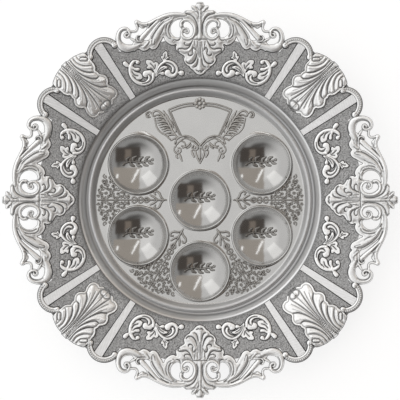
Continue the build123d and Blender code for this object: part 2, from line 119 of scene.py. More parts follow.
# %% From arrays to a piece
def make_piece(name, points, faces, body, material, sharp, tarnish=None, nodes=()):
    """A mesh object from arrays, which rides on a body and stands for CAD nodes."""
    mesh = bpy.data.meshes.new(name)
    corners = (faces >= 0).sum(1)
    mesh.vertices.add(len(points))
    mesh.vertices.foreach_set("co", (points * MM).astype(np.float32).ravel())
    mesh.loops.add(int(corners.sum()))
    mesh.loops.foreach_set("vertex_index", faces[faces >= 0].astype(np.int32))
    mesh.polygons.add(len(faces))
    mesh.polygons.foreach_set("loop_start", (np.cumsum(corners) - corners).astype(np.int32))
    mesh.polygons.foreach_set("use_smooth", np.ones(len(faces), bool))
    mesh.update(calc_edges=True)
    if tarnish is not None:
        layer = mesh.attributes.new("tarnish", "FLOAT", "POINT")
        layer.data.foreach_set("value", tarnish.astype(np.float32))
    mesh.validate()
    mesh.set_sharp_from_angle(angle=math.radians(sharp))
    mesh.materials.append(material)
    piece = bpy.data.objects.new(name, mesh)
    bpy.context.scene.collection.objects.link(piece)
    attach(piece, body)
    if nodes:
        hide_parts(*nodes)
    return piece


# %% [markdown]
# ## Shader maths as Python
# Finishes are drawn with shader nodes. A small class wraps one socket, so that masks and patterns
# can be written as plain sums, and one method adds any other node with its settings and inputs.


# %% The socket class
class Signal:
    """One output of a shader node, which Python's operators work on."""

    def __init__(self, tree, socket=None):
        self.tree = tree
        self.socket = socket

    def node(self, kind, settings=None, inputs=None, output=0):
        """Adds a node: its settings first, then a value or a link for each input."""
        made = self.tree.nodes.new(kind)
        for name, value in (settings or {}).items():
            setattr(made, name, value)
        for name, value in (inputs or {}).items():
            if isinstance(value, Signal):
                self.tree.links.new(value.socket, made.inputs[name])
            else:
                made.inputs[name].default_value = value
        return Signal(self.tree, made.outputs[output])

    def beside(self, output):
        """Another output of the same node."""
        return Signal(self.tree, self.socket.node.outputs[output])

    def math(self, operation, *values):
        """A Math node on this signal and more values."""
        return self.node("ShaderNodeMath", {"operation": operation}, dict(enumerate((self,) + values)))

    def __add__(self, other):
        return self.math("ADD", other)

    def __sub__(self, other):
        return self.math("SUBTRACT", other)

    def __rsub__(self, other):
        return self.math("MULTIPLY", -1.0) + other

    def __mul__(self, other):
        return self.math("MULTIPLY", other)

    def __truediv__(self, other):
        return self.math("DIVIDE", other)

    __radd__ = __add__
    __rmul__ = __mul__

    def step(self, low, high):
        """Smooth step: 0 below low, 1 above high."""
        ends = {"Value": self, "From Min": low, "From Max": high}
        return self.node("ShaderNodeMapRange", {"interpolation_type": "SMOOTHSTEP"}, ends)

    def colour(self, low, high):
        """Mix of two colours, by this signal."""
        return self.node("ShaderNodeMix", {"data_type": "RGBA"}, {0: self, 6: low, 7: high}, 2)

    def link(self, node, name):
        """Feeds one input of a node."""
        self.tree.links.new(self.socket, node.inputs[name])


print("socket class ready:", Signal.__doc__)


# %% Steps that finishes share
def grey(level):
    """A neutral colour for a shader input."""
    return (level, level, level, 1.0)


def new_finish(name, metallic, roughness, colour):
    """A material with its constant values set, the wrapped tree and the shader node."""
    material = bpy.data.materials.new(name)
    material.use_nodes = True
    shader = material.node_tree.nodes["Principled BSDF"]
    shader.inputs["Metallic"].default_value = metallic
    shader.inputs["Roughness"].default_value = roughness
    shader.inputs["Base Color"].default_value = (*colour, 1.0)
    return material, Signal(material.node_tree), shader


def object_place(start):
    """Place on the piece in metres, which moves with it."""
    return start.node("ShaderNodeTexCoord", None, None, "Object")


def stored_tarnish(start):
    """The darkness that the carving stored on each point."""
    return start.node("ShaderNodeAttribute", {"attribute_name": "tarnish"}, None, "Fac")


def noise(place, scale, detail, output=0):
    """Cloudy noise from 0 to 1, with so many clouds to the metre."""
    values = {"Vector": place, "Scale": scale, "Detail": detail}
    return place.node("ShaderNodeTexNoise", None, values, output)


def plan_radius(place):
    """Distance from the plate's axis: the length of the place without its height."""
    flat = place.node("ShaderNodeVectorMath", {"operation": "MULTIPLY"}, {0: place, 1: (1.0, 1.0, 0.0)})
    return flat.node("ShaderNodeVectorMath", {"operation": "LENGTH"}, {0: flat}, "Value")


def emboss(shader, height, strength, distance):
    """A Bump node from a height to the shader's Normal."""
    values = {"Strength": strength, "Distance": distance, "Height": height}
    height.node("ShaderNodeBump", None, values, "Normal").link(shader, "Normal")


print("shader steps ready; mid grey is", grey(0.5))

# %% [markdown]
# ## Finishes
# Cast silver is bright on its crests and black in its hollows, because the maker leaves the oxide
# there. The carving below works out how hollow each point lies and stores it as "tarnish", so one
# material can darken the hollows of every casting. The field is the other way round: dark all over,
# with a punched grain. The tray is buffed bright and lacquered, so it shows the studio like a mirror.

# %% Cast silver
CLOUD_SCALE = 420.0
CLOUD_SHARE = 0.16
CAST_GRAIN_SCALE = 1500.0
CAST_GRAIN_BUMP = 0.12, 0.0003
TARNISH_DULLING = 0.25


def cast_silver(name, bright, dark, shine):
    """Bright metal that turns dark and dull with the stored tarnish, plus a little cloud."""
    material, start, shader = new_finish(name, 1.0, shine, bright)
    place = object_place(start)
    cloud = noise(place, CLOUD_SCALE, 3.0)
    worn = stored_tarnish(start) + (cloud - 0.5) * CLOUD_SHARE
    worn = worn.math("MAXIMUM", 0.0).math("MINIMUM", 1.0)
    worn.colour((*bright, 1.0), (*dark, 1.0)).link(shader, "Base Color")
    (worn * TARNISH_DULLING + shine).link(shader, "Roughness")
    emboss(shader, noise(place, CAST_GRAIN_SCALE, 2.0), *CAST_GRAIN_BUMP)
    return material


casting_finish = cast_silver("cast_silver", (0.95, 0.95, 0.945), (0.02, 0.02, 0.022), 0.38)
engraving_finish = cast_silver("engraved_silver", (0.6, 0.585, 0.56), (0.05, 0.045, 0.04), 0.22)
print("finishes:", casting_finish.name, engraving_finish.name)

# %% The dark field and the polished wall of the dish
PUNCH_SCALE = 800.0
OXIDE_SCALE = 700.0
OXIDE_TONES = grey(0.11), grey(0.52)
# Painted shade on the recess wall: its colour runs from a dark foot to a bright top.
WALL_SHADE_TONES = grey(0.36), grey(0.76)
WALL_ROUGHNESS = 0.3
FIELD_ROUGHER = 0.15
PUNCH_BUMP = 0.5, 0.0004
# Painted shade: how much darker the field is painted in a band just outside the recess edge.
PAINTED_EDGE_SHADE_SHARE = 0.55


def dish_silver():
    """Oxidised and punched outside the recess edge, with painted shade in a band along that edge; satin
    inside it, with painted shade at the foot of the wall. All by the distance from the axis.
    """
    material, start, shader = new_finish("oxidised_silver", 1.0, 0.4, (0.3, 0.3, 0.3))
    place = object_place(start)
    radius = plan_radius(place)
    field = radius.step((RECESS_R + 0.1) * MM, (RECESS_R + 0.9) * MM)
    punched = start.node("ShaderNodeTexVoronoi", None, {"Vector": place, "Scale": PUNCH_SCALE})
    cloud = noise(place, OXIDE_SCALE, 4.0)
    grain = punched.step(0.1, 0.6) * 0.5 + cloud.step(0.3, 0.7) * 0.5
    # Painted shade: the field is darkened in a band just outside the recess edge, fading outwards.
    painted_edge_shade = 1.0 - radius.step((RECESS_R + 0.9) * MM, (RECESS_R + 6.5) * MM)
    oxide = (grain * (1.0 - painted_edge_shade * PAINTED_EDGE_SHADE_SHARE)).colour(*OXIDE_TONES)
    well = 1.0 - radius.step((LEDGE_IN_R - 5.0) * MM, (LEDGE_IN_R - 1.0) * MM)
    # Painted shade: the ledge and the foot of the recess wall are darker, the top of the wall brighter; the
    # well floor stays bright.
    painted_wall_shade = radius.step((LEDGE_R - 0.5) * MM, (RECESS_R - 1.5) * MM).math("MAXIMUM", well)
    field.colour(painted_wall_shade.colour(*WALL_SHADE_TONES), oxide).link(shader, "Base Color")
    (WALL_ROUGHNESS + field * FIELD_ROUGHER).link(shader, "Roughness")
    emboss(shader, grain * field, *PUNCH_BUMP)
    return material


dish_finish = dish_silver()
print("finish:", dish_finish.name)

# %% The mirror of the tray
HAZE_SCALE = 45.0
HAZE_ROUGHER = 0.08
SWELL_SCALE = 14.0
SWELL_BUMP = 0.6, 0.001
MIRROR_ROUGHNESS = 0.1
RIM_ROUGHER = 0.32
COAT_ROUGHNESS = 0.03
BUFFED_TONES = (0.4, 0.395, 0.384, 1.0), (0.49, 0.484, 0.472, 1.0)
BARE_RIM = grey(0.58)


def mirror_silver():
    """Lacquered plate: satin metal with a buffing haze under a clear coat; the rolled rim is bare."""
    material, start, shader = new_finish("polished_silver", 1.0, 0.15, (0.48, 0.475, 0.46))
    shader.inputs["Coat Roughness"].default_value = COAT_ROUGHNESS
    place = object_place(start)
    haze = noise(place, HAZE_SCALE, 5.0)
    rim = plan_radius(place).step(TRAY_RIM_IN_R * MM, (TRAY_RIM_IN_R + 1.5) * MM)
    (haze * HAZE_ROUGHER + MIRROR_ROUGHNESS + rim * RIM_ROUGHER).link(shader, "Roughness")
    (1.0 - rim).link(shader, "Coat Weight")
    rim.colour(haze.colour(*BUFFED_TONES), BARE_RIM).link(shader, "Base Color")
    emboss(shader, noise(place, SWELL_SCALE, 1.0), *SWELL_BUMP)
    return material


mirror_finish = mirror_silver()
print("finish:", mirror_finish.name)

# %% The hatched straps
HATCH_PITCH = 0.0022
HATCH_SLANT = 0.16
HATCH_TONES = grey(0.76), grey(0.88)
HATCH_BUMP = 0.2, 0.0002
STRAP_SIDE = grey(0.035)


def hatched_silver():
    """Bright bars with slanting lines and dark sides: a sine of the way out plus a share of the turn."""
    material, start, shader = new_finish("hatched_silver", 1.0, 0.4, (0.86, 0.86, 0.85))
    place = object_place(start)
    east = start.node("ShaderNodeSeparateXYZ", None, {0: place}, "X")
    turn = east.math("ARCTAN2", east.beside("Y"))
    phase = (plan_radius(place) + turn * HATCH_SLANT) * (2 * math.pi / HATCH_PITCH)
    ruled = phase.math("SINE") * 0.5 + 0.5
    stored_tarnish(start).colour(ruled.colour(*HATCH_TONES), STRAP_SIDE).link(shader, "Base Color")
    emboss(shader, ruled, *HATCH_BUMP)
    return material


strap_finish = hatched_silver()
print("finish:", strap_finish.name)

# %% [markdown]
# ## Turned shapes
# The dish and the rim of the tray are shapes of a lathe: an outline carried round the axis. Corners
# of the outline are rounded with the arc that touches both sides, as bent sheet metal is.


# %% Lathe helpers
def rounded(points, radii, steps=7):
    """Outline whose inner corners become arcs: the arc starts and ends radius/tan(half angle) away."""
    points = np.asarray(points, float)
    rows = [points[:1]]
    for before, corner, after, radius in zip(points[:-2], points[1:-1], points[2:], radii):
        way_back = (before - corner) / np.linalg.norm(before - corner)
        way_on = (after - corner) / np.linalg.norm(after - corner)
        half = math.acos(float(np.clip(way_back @ way_on, -1.0, 1.0))) / 2
        middle = (way_back + way_on) / np.linalg.norm(way_back + way_on)
        centre = corner + middle * radius / math.sin(half)
        start = corner + way_back * radius / math.tan(half) - centre
        end = corner + way_on * radius / math.tan(half) - centre
        share = np.linspace(0.0, 1.0, steps)[:, None]
        turn = math.pi - 2 * half
        arc = (np.sin((1 - share) * turn) * start + np.sin(share * turn) * end) / math.sin(turn)
        rows.append(centre + arc)
    rows.append(points[-1:])
    return np.vstack(rows)


def spun(radius, height, angles):
    """Points of an outline carried clockwise round the axis: x = r sin a, y = r cos a."""
    radius, height = np.broadcast_arrays(radius, height)
    return np.stack([radius * np.sin(angles)[:, None], radius * np.cos(angles)[:, None], height], -1)


print("a rounded corner has", len(rounded([(0, 0), (9, 0), (9, 9)], [2.0])), "points")

# %% [markdown]
# ## The dish
# The dish is spun from even sheet: floor, lower wall, a ledge for the tray, the polished recess wall
# and the sloping field. Its edge is lobed in plan, so the outermost ring of the grid runs to a radius
# that depends on the angle: the farthest of the shapes that the castings sit on.

# %% The lobed edge
COLLAR_SEAT_R = 163.0
TAIL_SEAT_R = 168.5
TAIL_SEAT_TURN = 28.0
SHELL_SEAT_R = 187.0
SHELL_SEAT_TURN = 8.0


def edge_radius(degrees):
    """Distance to the edge: the largest of the seats under collar, tails, shells and mouldings."""
    diagonal = np.abs(degrees % 90.0 - 45.0)
    radius = np.full(degrees.shape, COLLAR_SEAT_R)
    radius = np.where(diagonal < TAIL_SEAT_TURN, TAIL_SEAT_R, radius)
    radius = np.where(diagonal < SHELL_SEAT_TURN, SHELL_SEAT_R, radius)
    off = np.radians(45.0 - diagonal - STRAP_ANGLE)
    reach = MOULDING_R ** 2 - (MOULDING_REACH_R * np.sin(off)) ** 2
    lobe = MOULDING_REACH_R * np.cos(off) + np.sqrt(np.clip(reach, 0.0, None))
    return np.where(reach > 0.0, np.maximum(radius, lobe), radius)


print("edge from", COLLAR_SEAT_R, "to", round(edge_radius(np.arange(360.0)).max(), 1), "mm")

# %% Spin the dish
DISH_TURNS = 1080
DISH_BENDS = [5.0, 2.5, 3.0, 6.0]
FIELD_IN_R = RECESS_R + 6.0
FIELD_RINGS = 8
LEDGE_CLEAR = 0.05


def spin_dish():
    """Top outline out to the lobed edge, then the under side 1.5 mm below it, back to the axis."""
    degrees = np.arange(DISH_TURNS) * (360.0 / DISH_TURNS)
    ledge_z = LEDGE_Z - LEDGE_CLEAR
    outline = rounded(
        [(0, FLOOR_Z), (FLOOR_R, FLOOR_Z), (LEDGE_IN_R, ledge_z), (LEDGE_R, ledge_z),
         (RECESS_R, FIELD_EDGE_Z), (FIELD_IN_R, field_z(FIELD_IN_R))],
        DISH_BENDS,
    )
    slope = np.gradient(outline, axis=0)
    normal = np.stack([-slope[:, 1], slope[:, 0]], -1) / np.linalg.norm(slope, axis=1)[:, None]
    under = outline - normal * DISH_SHEET
    under[0, 0] = 0.0
    under = under[::-1]
    share = np.linspace(0.0, 1.0, FIELD_RINGS + 1)[1:]
    outer = outline[-1, 0] + (edge_radius(degrees)[:, None] - outline[-1, 0]) * share
    back = outer[:, ::-1]
    below = DISH_SHEET / math.cos(math.atan(FIELD_RISE))
    turned = (DISH_TURNS, len(outline))
    radius = np.hstack([np.broadcast_to(outline[:, 0], turned), outer,
                        back, np.broadcast_to(under[:, 0], turned)])
    height = np.hstack([np.broadcast_to(outline[:, 1], turned), field_z(outer),
                        field_z(back) - below, np.broadcast_to(under[:, 1], turned)])
    points = spun(radius, height, np.radians(degrees))
    return weld(points.reshape(-1, 3), grid_faces(points.shape[0], points.shape[1]))


dish_points, dish_faces = spin_dish()
make_piece("dish", dish_points, dish_faces, "charger", dish_finish, 30.0,
           nodes=["charger_dish"])
print("dish:", len(dish_faces), "faces")

# %% [markdown]
# ## The tray
# The tray is one stamping with six bowls. A single lathe can't make it, so the floor is split into
# seven cells that meet along straight lines: a hexagon round the middle bowl and six outer cells.
# In each cell, rings run from the middle of the bowl up over its raised bead and then spread out to
# the border of the cell. Neighbours share their border points, so welding leaves one closed skin.

# %% Sizes of the tray
WELL_PITCH = 72.0
WELL_R = 28.0
WELL_DEPTH = 12.0
WELL_SPHERE_R = (WELL_R ** 2 + WELL_DEPTH ** 2) / (2 * WELL_DEPTH)
WELL_RING_R = 31.0
WELL_BEAD_H = 1.2
TRAY_SHEET = 1.0
TRAY_FLOOR_Z = 18.5
TRAY_FLOOR_R = 105.5
TRAY_FLAT_R = 104.2
TRAY_STEP_R = 108.5
TRAY_STEP_BEND = 2.2
TRAY_SEAT_IN_R = 109.04
TRAY_UNDER_R = 105.7
HALF_PLACE = math.pi / 6
PLAQUE_PLACE = 0


def line(start, end, count):
    """Evenly spaced points of a straight line, without its last one."""
    share = np.linspace(0.0, 1.0, count, endpoint=False)[:, None]
    return np.asarray(start) * (1 - share) + np.asarray(end) * share


def around(radius, angle):
    """Plan point at a radius, clockwise from +Y."""
    return np.stack([radius * np.sin(angle), radius * np.cos(angle)], -1)


print("bowl sphere radius", round(WELL_SPHERE_R, 2), "mm")

# %% Borders of the cells
HEXAGON_STEPS = 30
SIDE_STEPS = 36
ARC_STEPS = 72
HEXAGON_R = WELL_PITCH / 2 / math.cos(HALF_PLACE)


def cell_border(place, outer_r):
    """Clockwise border of a cell: out along one side, round the arc, back in and along the hexagon."""
    if place is None:
        corners = around(HEXAGON_R, np.arange(7) * 2 * HALF_PLACE - HALF_PLACE)
        return np.vstack([line(corners[side], corners[side + 1], HEXAGON_STEPS) for side in range(6)])
    left, right = 2 * HALF_PLACE * place - HALF_PLACE, 2 * HALF_PLACE * place + HALF_PLACE
    return np.vstack([
        line(around(HEXAGON_R, left), around(outer_r, left), SIDE_STEPS),
        around(outer_r, np.linspace(left, right, ARC_STEPS, endpoint=False)),
        line(around(outer_r, right), around(HEXAGON_R, right), SIDE_STEPS),
        line(around(HEXAGON_R, right), around(HEXAGON_R, left), HEXAGON_STEPS),
    ])


print("border points:", len(cell_border(None, TRAY_FLAT_R)), "and", len(cell_border(1, TRAY_FLAT_R)))


# %% Outline of a bowl
def bowl_outline(under):
    """Radius and height of a bowl: a sphere up to the mouth, then a half-round bead; or its under side."""
    centre_z = TRAY_FLOOR_Z - WELL_DEPTH + WELL_SPHERE_R
    if under:
        skin_r = WELL_SPHERE_R + TRAY_SHEET
        mouth = math.sqrt(skin_r ** 2 - (centre_z - TRAY_FLOOR_Z + TRAY_SHEET) ** 2)
        radius = np.linspace(0.0, mouth, 20)
        rows = np.stack([radius, centre_z - np.sqrt(skin_r ** 2 - radius ** 2)], -1)
        return np.vstack([rows, [(WELL_RING_R, TRAY_FLOOR_Z - TRAY_SHEET)]])
    radius = np.linspace(0.0, WELL_R, 26)
    bowl = np.stack([radius, centre_z - np.sqrt(WELL_SPHERE_R ** 2 - radius ** 2)], -1)
    share = np.linspace(0.0, 1.0, 13)[1:]
    bead = np.stack([WELL_R + (WELL_RING_R - WELL_R) * share,
                     TRAY_FLOOR_Z + WELL_BEAD_H * np.sin(math.pi * share) ** 1.2], -1)
    return np.vstack([bowl, bead])


print("bowl outline:", len(bowl_outline(False)), "points on top,", len(bowl_outline(True)), "below")


# %% Grids of the cells
def tray_cell(place, outer_r, under):
    """Grid of one cell: rings of the bowl, then straight lines out to the border."""
    border = cell_border(place, outer_r)
    spot = np.zeros(2) if place is None else around(WELL_PITCH, 2 * HALF_PLACE * place)
    flat_z = TRAY_FLOOR_Z - (TRAY_SHEET if under else 0.0)
    way = border - spot
    share = np.linspace(0.0, 1.0, 7)
    if place == PLAQUE_PLACE:
        plan = spot + way[:, None, :] * share[None, :, None]
        return np.dstack([plan, np.full(plan.shape[:2], flat_z)])
    heading = np.arctan2(way[:, 0], way[:, 1])
    radius, height = bowl_outline(under).T
    bowl = spun(np.broadcast_to(radius, (len(heading), len(radius))), height[None, :], heading)
    bowl = bowl + np.array([spot[0], spot[1], 0.0])
    start = bowl[:, -1, :2]
    spread = start[:, None, :] + (border - start)[:, None, :] * share[None, 1:, None]
    flat = np.dstack([spread, np.full(spread.shape[:2], flat_z)])
    return np.concatenate([bowl, flat], 1)


print("middle cell:", tray_cell(None, TRAY_FLAT_R, False).shape[:2], "points")

# %% Stamp the tray
RIM_TURNS = 432
RIM_CROWN = 5.8
RIM_FALL = 0.5


def tray_rim():
    """Step up from the floor, the crown of the rolled rim as a parabola, then the seat and back in."""
    step = rounded([(TRAY_FLAT_R, TRAY_FLOOR_Z), (TRAY_FLOOR_R, TRAY_FLOOR_Z),
                    (TRAY_STEP_R, LEDGE_Z + TRAY_SHEET)], [TRAY_STEP_BEND])
    crown = np.linspace(0.0, 1.0, 15)
    crown_r = TRAY_STEP_R + (TRAY_R - TRAY_STEP_R) * crown
    crown_z = LEDGE_Z + TRAY_SHEET - RIM_FALL * crown + RIM_CROWN * crown * (1 - crown)
    seat = [(TRAY_R, LEDGE_Z), (TRAY_SEAT_IN_R, LEDGE_Z), (TRAY_UNDER_R, TRAY_FLOOR_Z - TRAY_SHEET)]
    radius, height = np.vstack([step[:-1], np.stack([crown_r, crown_z], -1), seat]).T
    angles = np.arange(RIM_TURNS) * (2 * math.pi / RIM_TURNS) - HALF_PLACE
    return spun(radius[None, :], height[None, :] + 0 * angles[:, None], angles)


def tray_skin():
    """Rolled rim, top cells and under cells, joined into one closed skin."""
    grids = [(tray_rim(), False)]
    for place in [None, 0, 1, 2, 3, 4, 5]:
        grids.append((tray_cell(place, TRAY_FLAT_R, False), False))
        grids.append((tray_cell(place, TRAY_UNDER_R, True), True))
    points, faces, count = [], [], 0
    for grid, turned_over in grids:
        quads = grid_faces(grid.shape[0], grid.shape[1]) + count
        faces.append(quads[:, ::-1] if turned_over else quads)
        points.append(grid.reshape(-1, 3))
        count += grid.shape[0] * grid.shape[1]
    return weld(np.vstack(points), np.vstack(faces))


tray_points, tray_faces = tray_skin()
make_piece("tray", tray_points, tray_faces, "tray", mirror_finish, 50.0,
           nodes=["centre_tray"])
print("tray:", len(tray_faces), "faces")

# %% [markdown]
# ## Carving
# A casting is carved like a low relief: seen from above it never folds under itself, so it is a height
# over each point of its plan. Each leaf, rib or scroll is a stroke: a smooth path with a half-width that
# changes along it. On a square grid, the depth inside a stroke is the largest "half-width minus
# distance" over the points of its path. Strokes join by taking the larger depth and the larger height.
# The outline is where the joint depth is zero, and the grid's nearest points are moved onto it, so the
# edge is smooth although the grid is square. A blurred copy of the heights shows what lies in a hollow:
# where the blur is higher than the surface, the metal stays dark.


# %% Paths, blur and easing
def smooth_path(points, steps=10):
    """Curve through points: Hermite cubics, whose end slopes point along the neighbours' chord.

    A slope is as long as the stretch that it belongs to, so close points make no loops. Widths, where
    a third column gives them, run straight from point to point.
    """
    rows = np.asarray(points, float)
    plan = rows[:, :2]
    wide = np.vstack([2 * plan[:1] - plan[1:2], plan, 2 * plan[-1:] - plan[-2:-1]])
    way = wide[2:] - wide[:-2]
    way = way / np.maximum(np.linalg.norm(way, axis=1), 1e-6)[:, None]
    chord = np.linalg.norm(plan[1:] - plan[:-1], axis=1)[:, None]
    t = np.linspace(0.0, 1.0, steps, endpoint=False)[:, None, None]
    curve = plan[:-1] * (2 * t ** 3 - 3 * t ** 2 + 1) + way[:-1] * chord * (t ** 3 - 2 * t ** 2 + t)
    curve = curve + plan[1:] * (3 * t ** 2 - 2 * t ** 3) + way[1:] * chord * (t ** 3 - t ** 2)
    width = rows[:-1, 2:] * (1 - t) + rows[1:, 2:] * t
    path = np.concatenate([curve, width], 2).transpose(1, 0, 2).reshape(-1, rows.shape[1])
    return np.vstack([path, rows[-1:]])


def blurred(height, reach):
    """Gaussian blur of a grid, as a product in frequency space."""
    across = np.fft.fftfreq(height.shape[0])[:, None]
    outward = np.fft.rfftfreq(height.shape[1])[None, :]
    fade = np.exp(-2 * (math.pi * reach) ** 2 * (across ** 2 + outward ** 2))
    return np.fft.irfft2(np.fft.rfft2(height) * fade, height.shape)


def ease(value):
    """Smooth step from 0 to 1."""
    value = np.clip(value, 0.0, 1.0)
    return value * value * (3 - 2 * value)


print("a path of 3 points becomes", len(smooth_path([(0, 0), (1, 1), (2, 0)])))

# %% The relief grid
OUTSIDE = -4.0
HEM_WIDTH = 0.45
CUT_SPREAD = 1.2
CUT_GAIN = 1.25
DOT = 0.01


class Relief:
    """Heights, outline and cut lines of a carving on a square grid in plan."""

    def __init__(self, low, high, step, plate, tone, pillow=0.0, mirrored=False,
                 skirt=0.9, lining=1.7, gain=1.6):
        across = np.arange(low[0], high[0] + step, step)
        outward = np.arange(low[1], high[1] + step, step)
        self.u, self.v = np.meshgrid(across, outward, indexing="ij")
        self.drawn = np.abs(self.u) if mirrored else self.u
        self.step, self.plate, self.pillow, self.tone = step, plate, pillow, tone
        self.skirt, self.lining, self.gain = skirt, lining, gain
        self.inside = np.full(self.u.shape, OUTSIDE)
        self.rise = np.zeros(self.u.shape)
        self.groove = np.zeros(self.u.shape)
        self.outlined = 1.0

    def from_path(self, points, reach):
        """Grid points near a path: which they are, and depth and width at the nearest path point."""
        path = smooth_path(points)
        far = path[:, 2] + reach
        near = (self.drawn > (path[:, 0] - far).min()) & (self.drawn < (path[:, 0] + far).max())
        near &= (self.v > (path[:, 1] - far).min()) & (self.v < (path[:, 1] + far).max())
        away = np.hypot(self.drawn[near][:, None] - path[:, 0], self.v[near][:, None] - path[:, 1])
        depths = path[:, 2] - away
        best = depths.argmax(1)
        return near, depths[np.arange(len(best)), best], path[best, 2]

    def area(self, corners, border=0.0, hole=False):
        """Joins an outline with a border to the plate, or pierces it: signed distance to the outline."""
        path = smooth_path(corners, 6)
        away = np.full(self.u.shape, np.inf)
        odd = np.zeros(self.u.shape, bool)
        for (u, v), (next_u, next_v) in zip(path, np.roll(path, -1, 0)):
            way_u, way_v = next_u - u, next_v - v
            share = (self.drawn - u) * way_u + (self.v - v) * way_v
            share = np.clip(share / max(way_u ** 2 + way_v ** 2, 1e-9), 0.0, 1.0)
            away = np.minimum(away, np.hypot(self.drawn - u - share * way_u, self.v - v - share * way_v))
            if v != next_v:
                crosses = (v > self.v) != (next_v > self.v)
                odd ^= crosses & (self.drawn < u + (self.v - v) * way_u / way_v)
        signed = np.where(odd, away, -away) + border
        self.inside = np.minimum(self.inside, -signed) if hole else np.maximum(self.inside, signed)

    def stroke(self, crest, border, points):
        """Lays a half-round band along a path, with a plain border of plate round it."""
        near, depth, width = self.from_path(points, border + 1.5)
        share = np.clip(1 - depth / width, 0.0, 1.0)
        self.inside[near] = np.maximum(self.inside[near], depth + border)
        self.rise[near] = np.maximum(self.rise[near], crest * np.sqrt(1 - share ** 2))

    def ball(self, crest, border, spot, radius):
        """A domed boss: a stroke with no length."""
        self.stroke(crest, border, [(*spot, radius), (spot[0] + DOT, spot[1], radius)])

    def cut(self, dark, points):
        """Cuts a dark groove along a path: a Gaussian across, as wide as the path."""
        near, depth, width = self.from_path(points, 2.0)
        across = np.exp(-((width - depth) / (CUT_SPREAD * width)) ** 2)
        self.groove[near] = np.maximum(self.groove[near], np.minimum(CUT_GAIN * dark, 1.0) * across)

    def hem(self, depth, dark):
        """Cuts a fine line that follows the outline at one depth inside it."""
        line_cut = dark * np.exp(-((self.inside - depth) / HEM_WIDTH) ** 2)
        self.groove = np.maximum(self.groove, line_cut)


print("a 10 mm relief has", Relief((-5, 0), (5, 10), 0.4, 1.0, 0.0).u.shape, "points")

# %% Heights and tarnish of a relief
EDGE_SHARE = 0.2
GROOVE_SHARE = 0.4
PILLOW_RUN = 4.0
TONE_RUN = 0.9
HOLLOW_REACH = 0.8
HOLLOW_MOST = 0.6
FOOT_DARK = 0.95


def carved(relief):
    """Height over the seat and tarnish: plate with a sloping skirt, pillow, bands, then grooves."""
    inside, plate, skirt = relief.inside, relief.plate, relief.skirt
    body = relief.pillow * ease((inside - relief.lining) / PILLOW_RUN)
    height = plate + np.maximum(relief.rise, body) - GROOVE_SHARE * plate * relief.groove
    height = height * (EDGE_SHARE + (1 - EDGE_SHARE) * ease(inside / skirt))
    height = np.where(inside > 0, height, EDGE_SHARE * plate)
    hollow = relief.gain * (blurred(height, HOLLOW_REACH / relief.step) - height)
    tone = relief.tone * ease((inside - relief.lining) / TONE_RUN) + np.clip(hollow, 0.0, HOLLOW_MOST)
    foot = FOOT_DARK * relief.outlined * (1.0 - ease((inside - 0.5 * skirt) / (0.6 * skirt)))
    return height, np.clip(np.maximum(np.maximum(tone, relief.groove), foot), 0.0, 1.0)


print("tarnish at an outline:", FOOT_DARK)


# %% Snap the grid to the outline
def snapped(relief):
    """Grid points moved onto the outline, and the faces inside it, as quads and corner triangles."""
    inside = relief.inside
    slope_u, slope_v = np.gradient(inside, relief.step)
    on_edge = np.zeros(inside.shape, bool)
    for axis in (0, 1):
        first = np.swapaxes(inside, 0, axis)[:-1]
        second = np.swapaxes(inside, 0, axis)[1:]
        crosses = (first > 0) != (second > 0)
        nearer = np.abs(first) <= np.abs(second)
        marks = np.swapaxes(on_edge, 0, axis)
        marks[:-1] |= crosses & nearer
        marks[1:] |= crosses & ~nearer
    length = np.maximum(np.hypot(slope_u, slope_v), 0.5)
    move = np.where(on_edge, np.clip(-inside / length, -relief.step, relief.step), 0.0) / length
    kept = (inside > 0) | on_edge
    number = np.arange(inside.size).reshape(inside.shape)
    corners = [number[:-1, :-1], number[1:, :-1], number[1:, 1:], number[:-1, 1:]]
    corners = np.stack(corners, -1).reshape(-1, 4)
    held = kept.reshape(-1)[corners]
    quads = corners[held.all(1)]
    cut = corners[held.sum(1) == 3]
    missing = (~held[held.sum(1) == 3]).argmax(1)
    turn = (missing[:, None] + np.arange(1, 4)) % 4
    triangles = np.column_stack([np.take_along_axis(cut, turn, 1), np.full(len(cut), -1)])
    return relief.u + move * slope_u, relief.v + move * slope_v, on_edge, np.vstack([quads, triangles])


def open_edges(faces):
    """Ends of the edges that only one face has."""
    last = (faces >= 0).sum(1) - 1
    following = np.where(np.arange(4) == last[:, None], faces[:, :1], np.roll(faces, -1, 1))
    start, end = faces[faces >= 0], following[faces >= 0]
    total = faces.max() + 1
    alone = ~np.isin(start * total + end, end * total + start)
    return start[alone], end[alone]


def bridge(relief, faces):
    """Fills the grid points round each spot where two parts of the plan would touch at a single point."""
    spots = np.flatnonzero(np.bincount(open_edges(faces)[0]) > 1)
    row, column = np.divmod(spots, relief.inside.shape[1])
    for way in np.ndindex(3, 3):
        near = (row + way[0] - 1, column + way[1] - 1)
        relief.inside[near] = np.maximum(relief.inside[near], 0.3 * relief.step)


print("a quad alone has", len(open_edges(np.array([[0, 1, 2, 3]]))[0]), "open edges")

# %% From the grid to a closed solid
BRIDGE_ROUNDS = 3
UNDER_DARK = 0.3
CAST_SHARP = 50.0


def reversed_faces(faces):
    """The same faces with their corners in reverse, which turns them over."""
    turned = faces.copy()
    quad = faces[:, 3] >= 0
    turned[quad] = faces[quad][:, ::-1]
    turned[~quad, :3] = faces[~quad][:, 2::-1]
    return turned


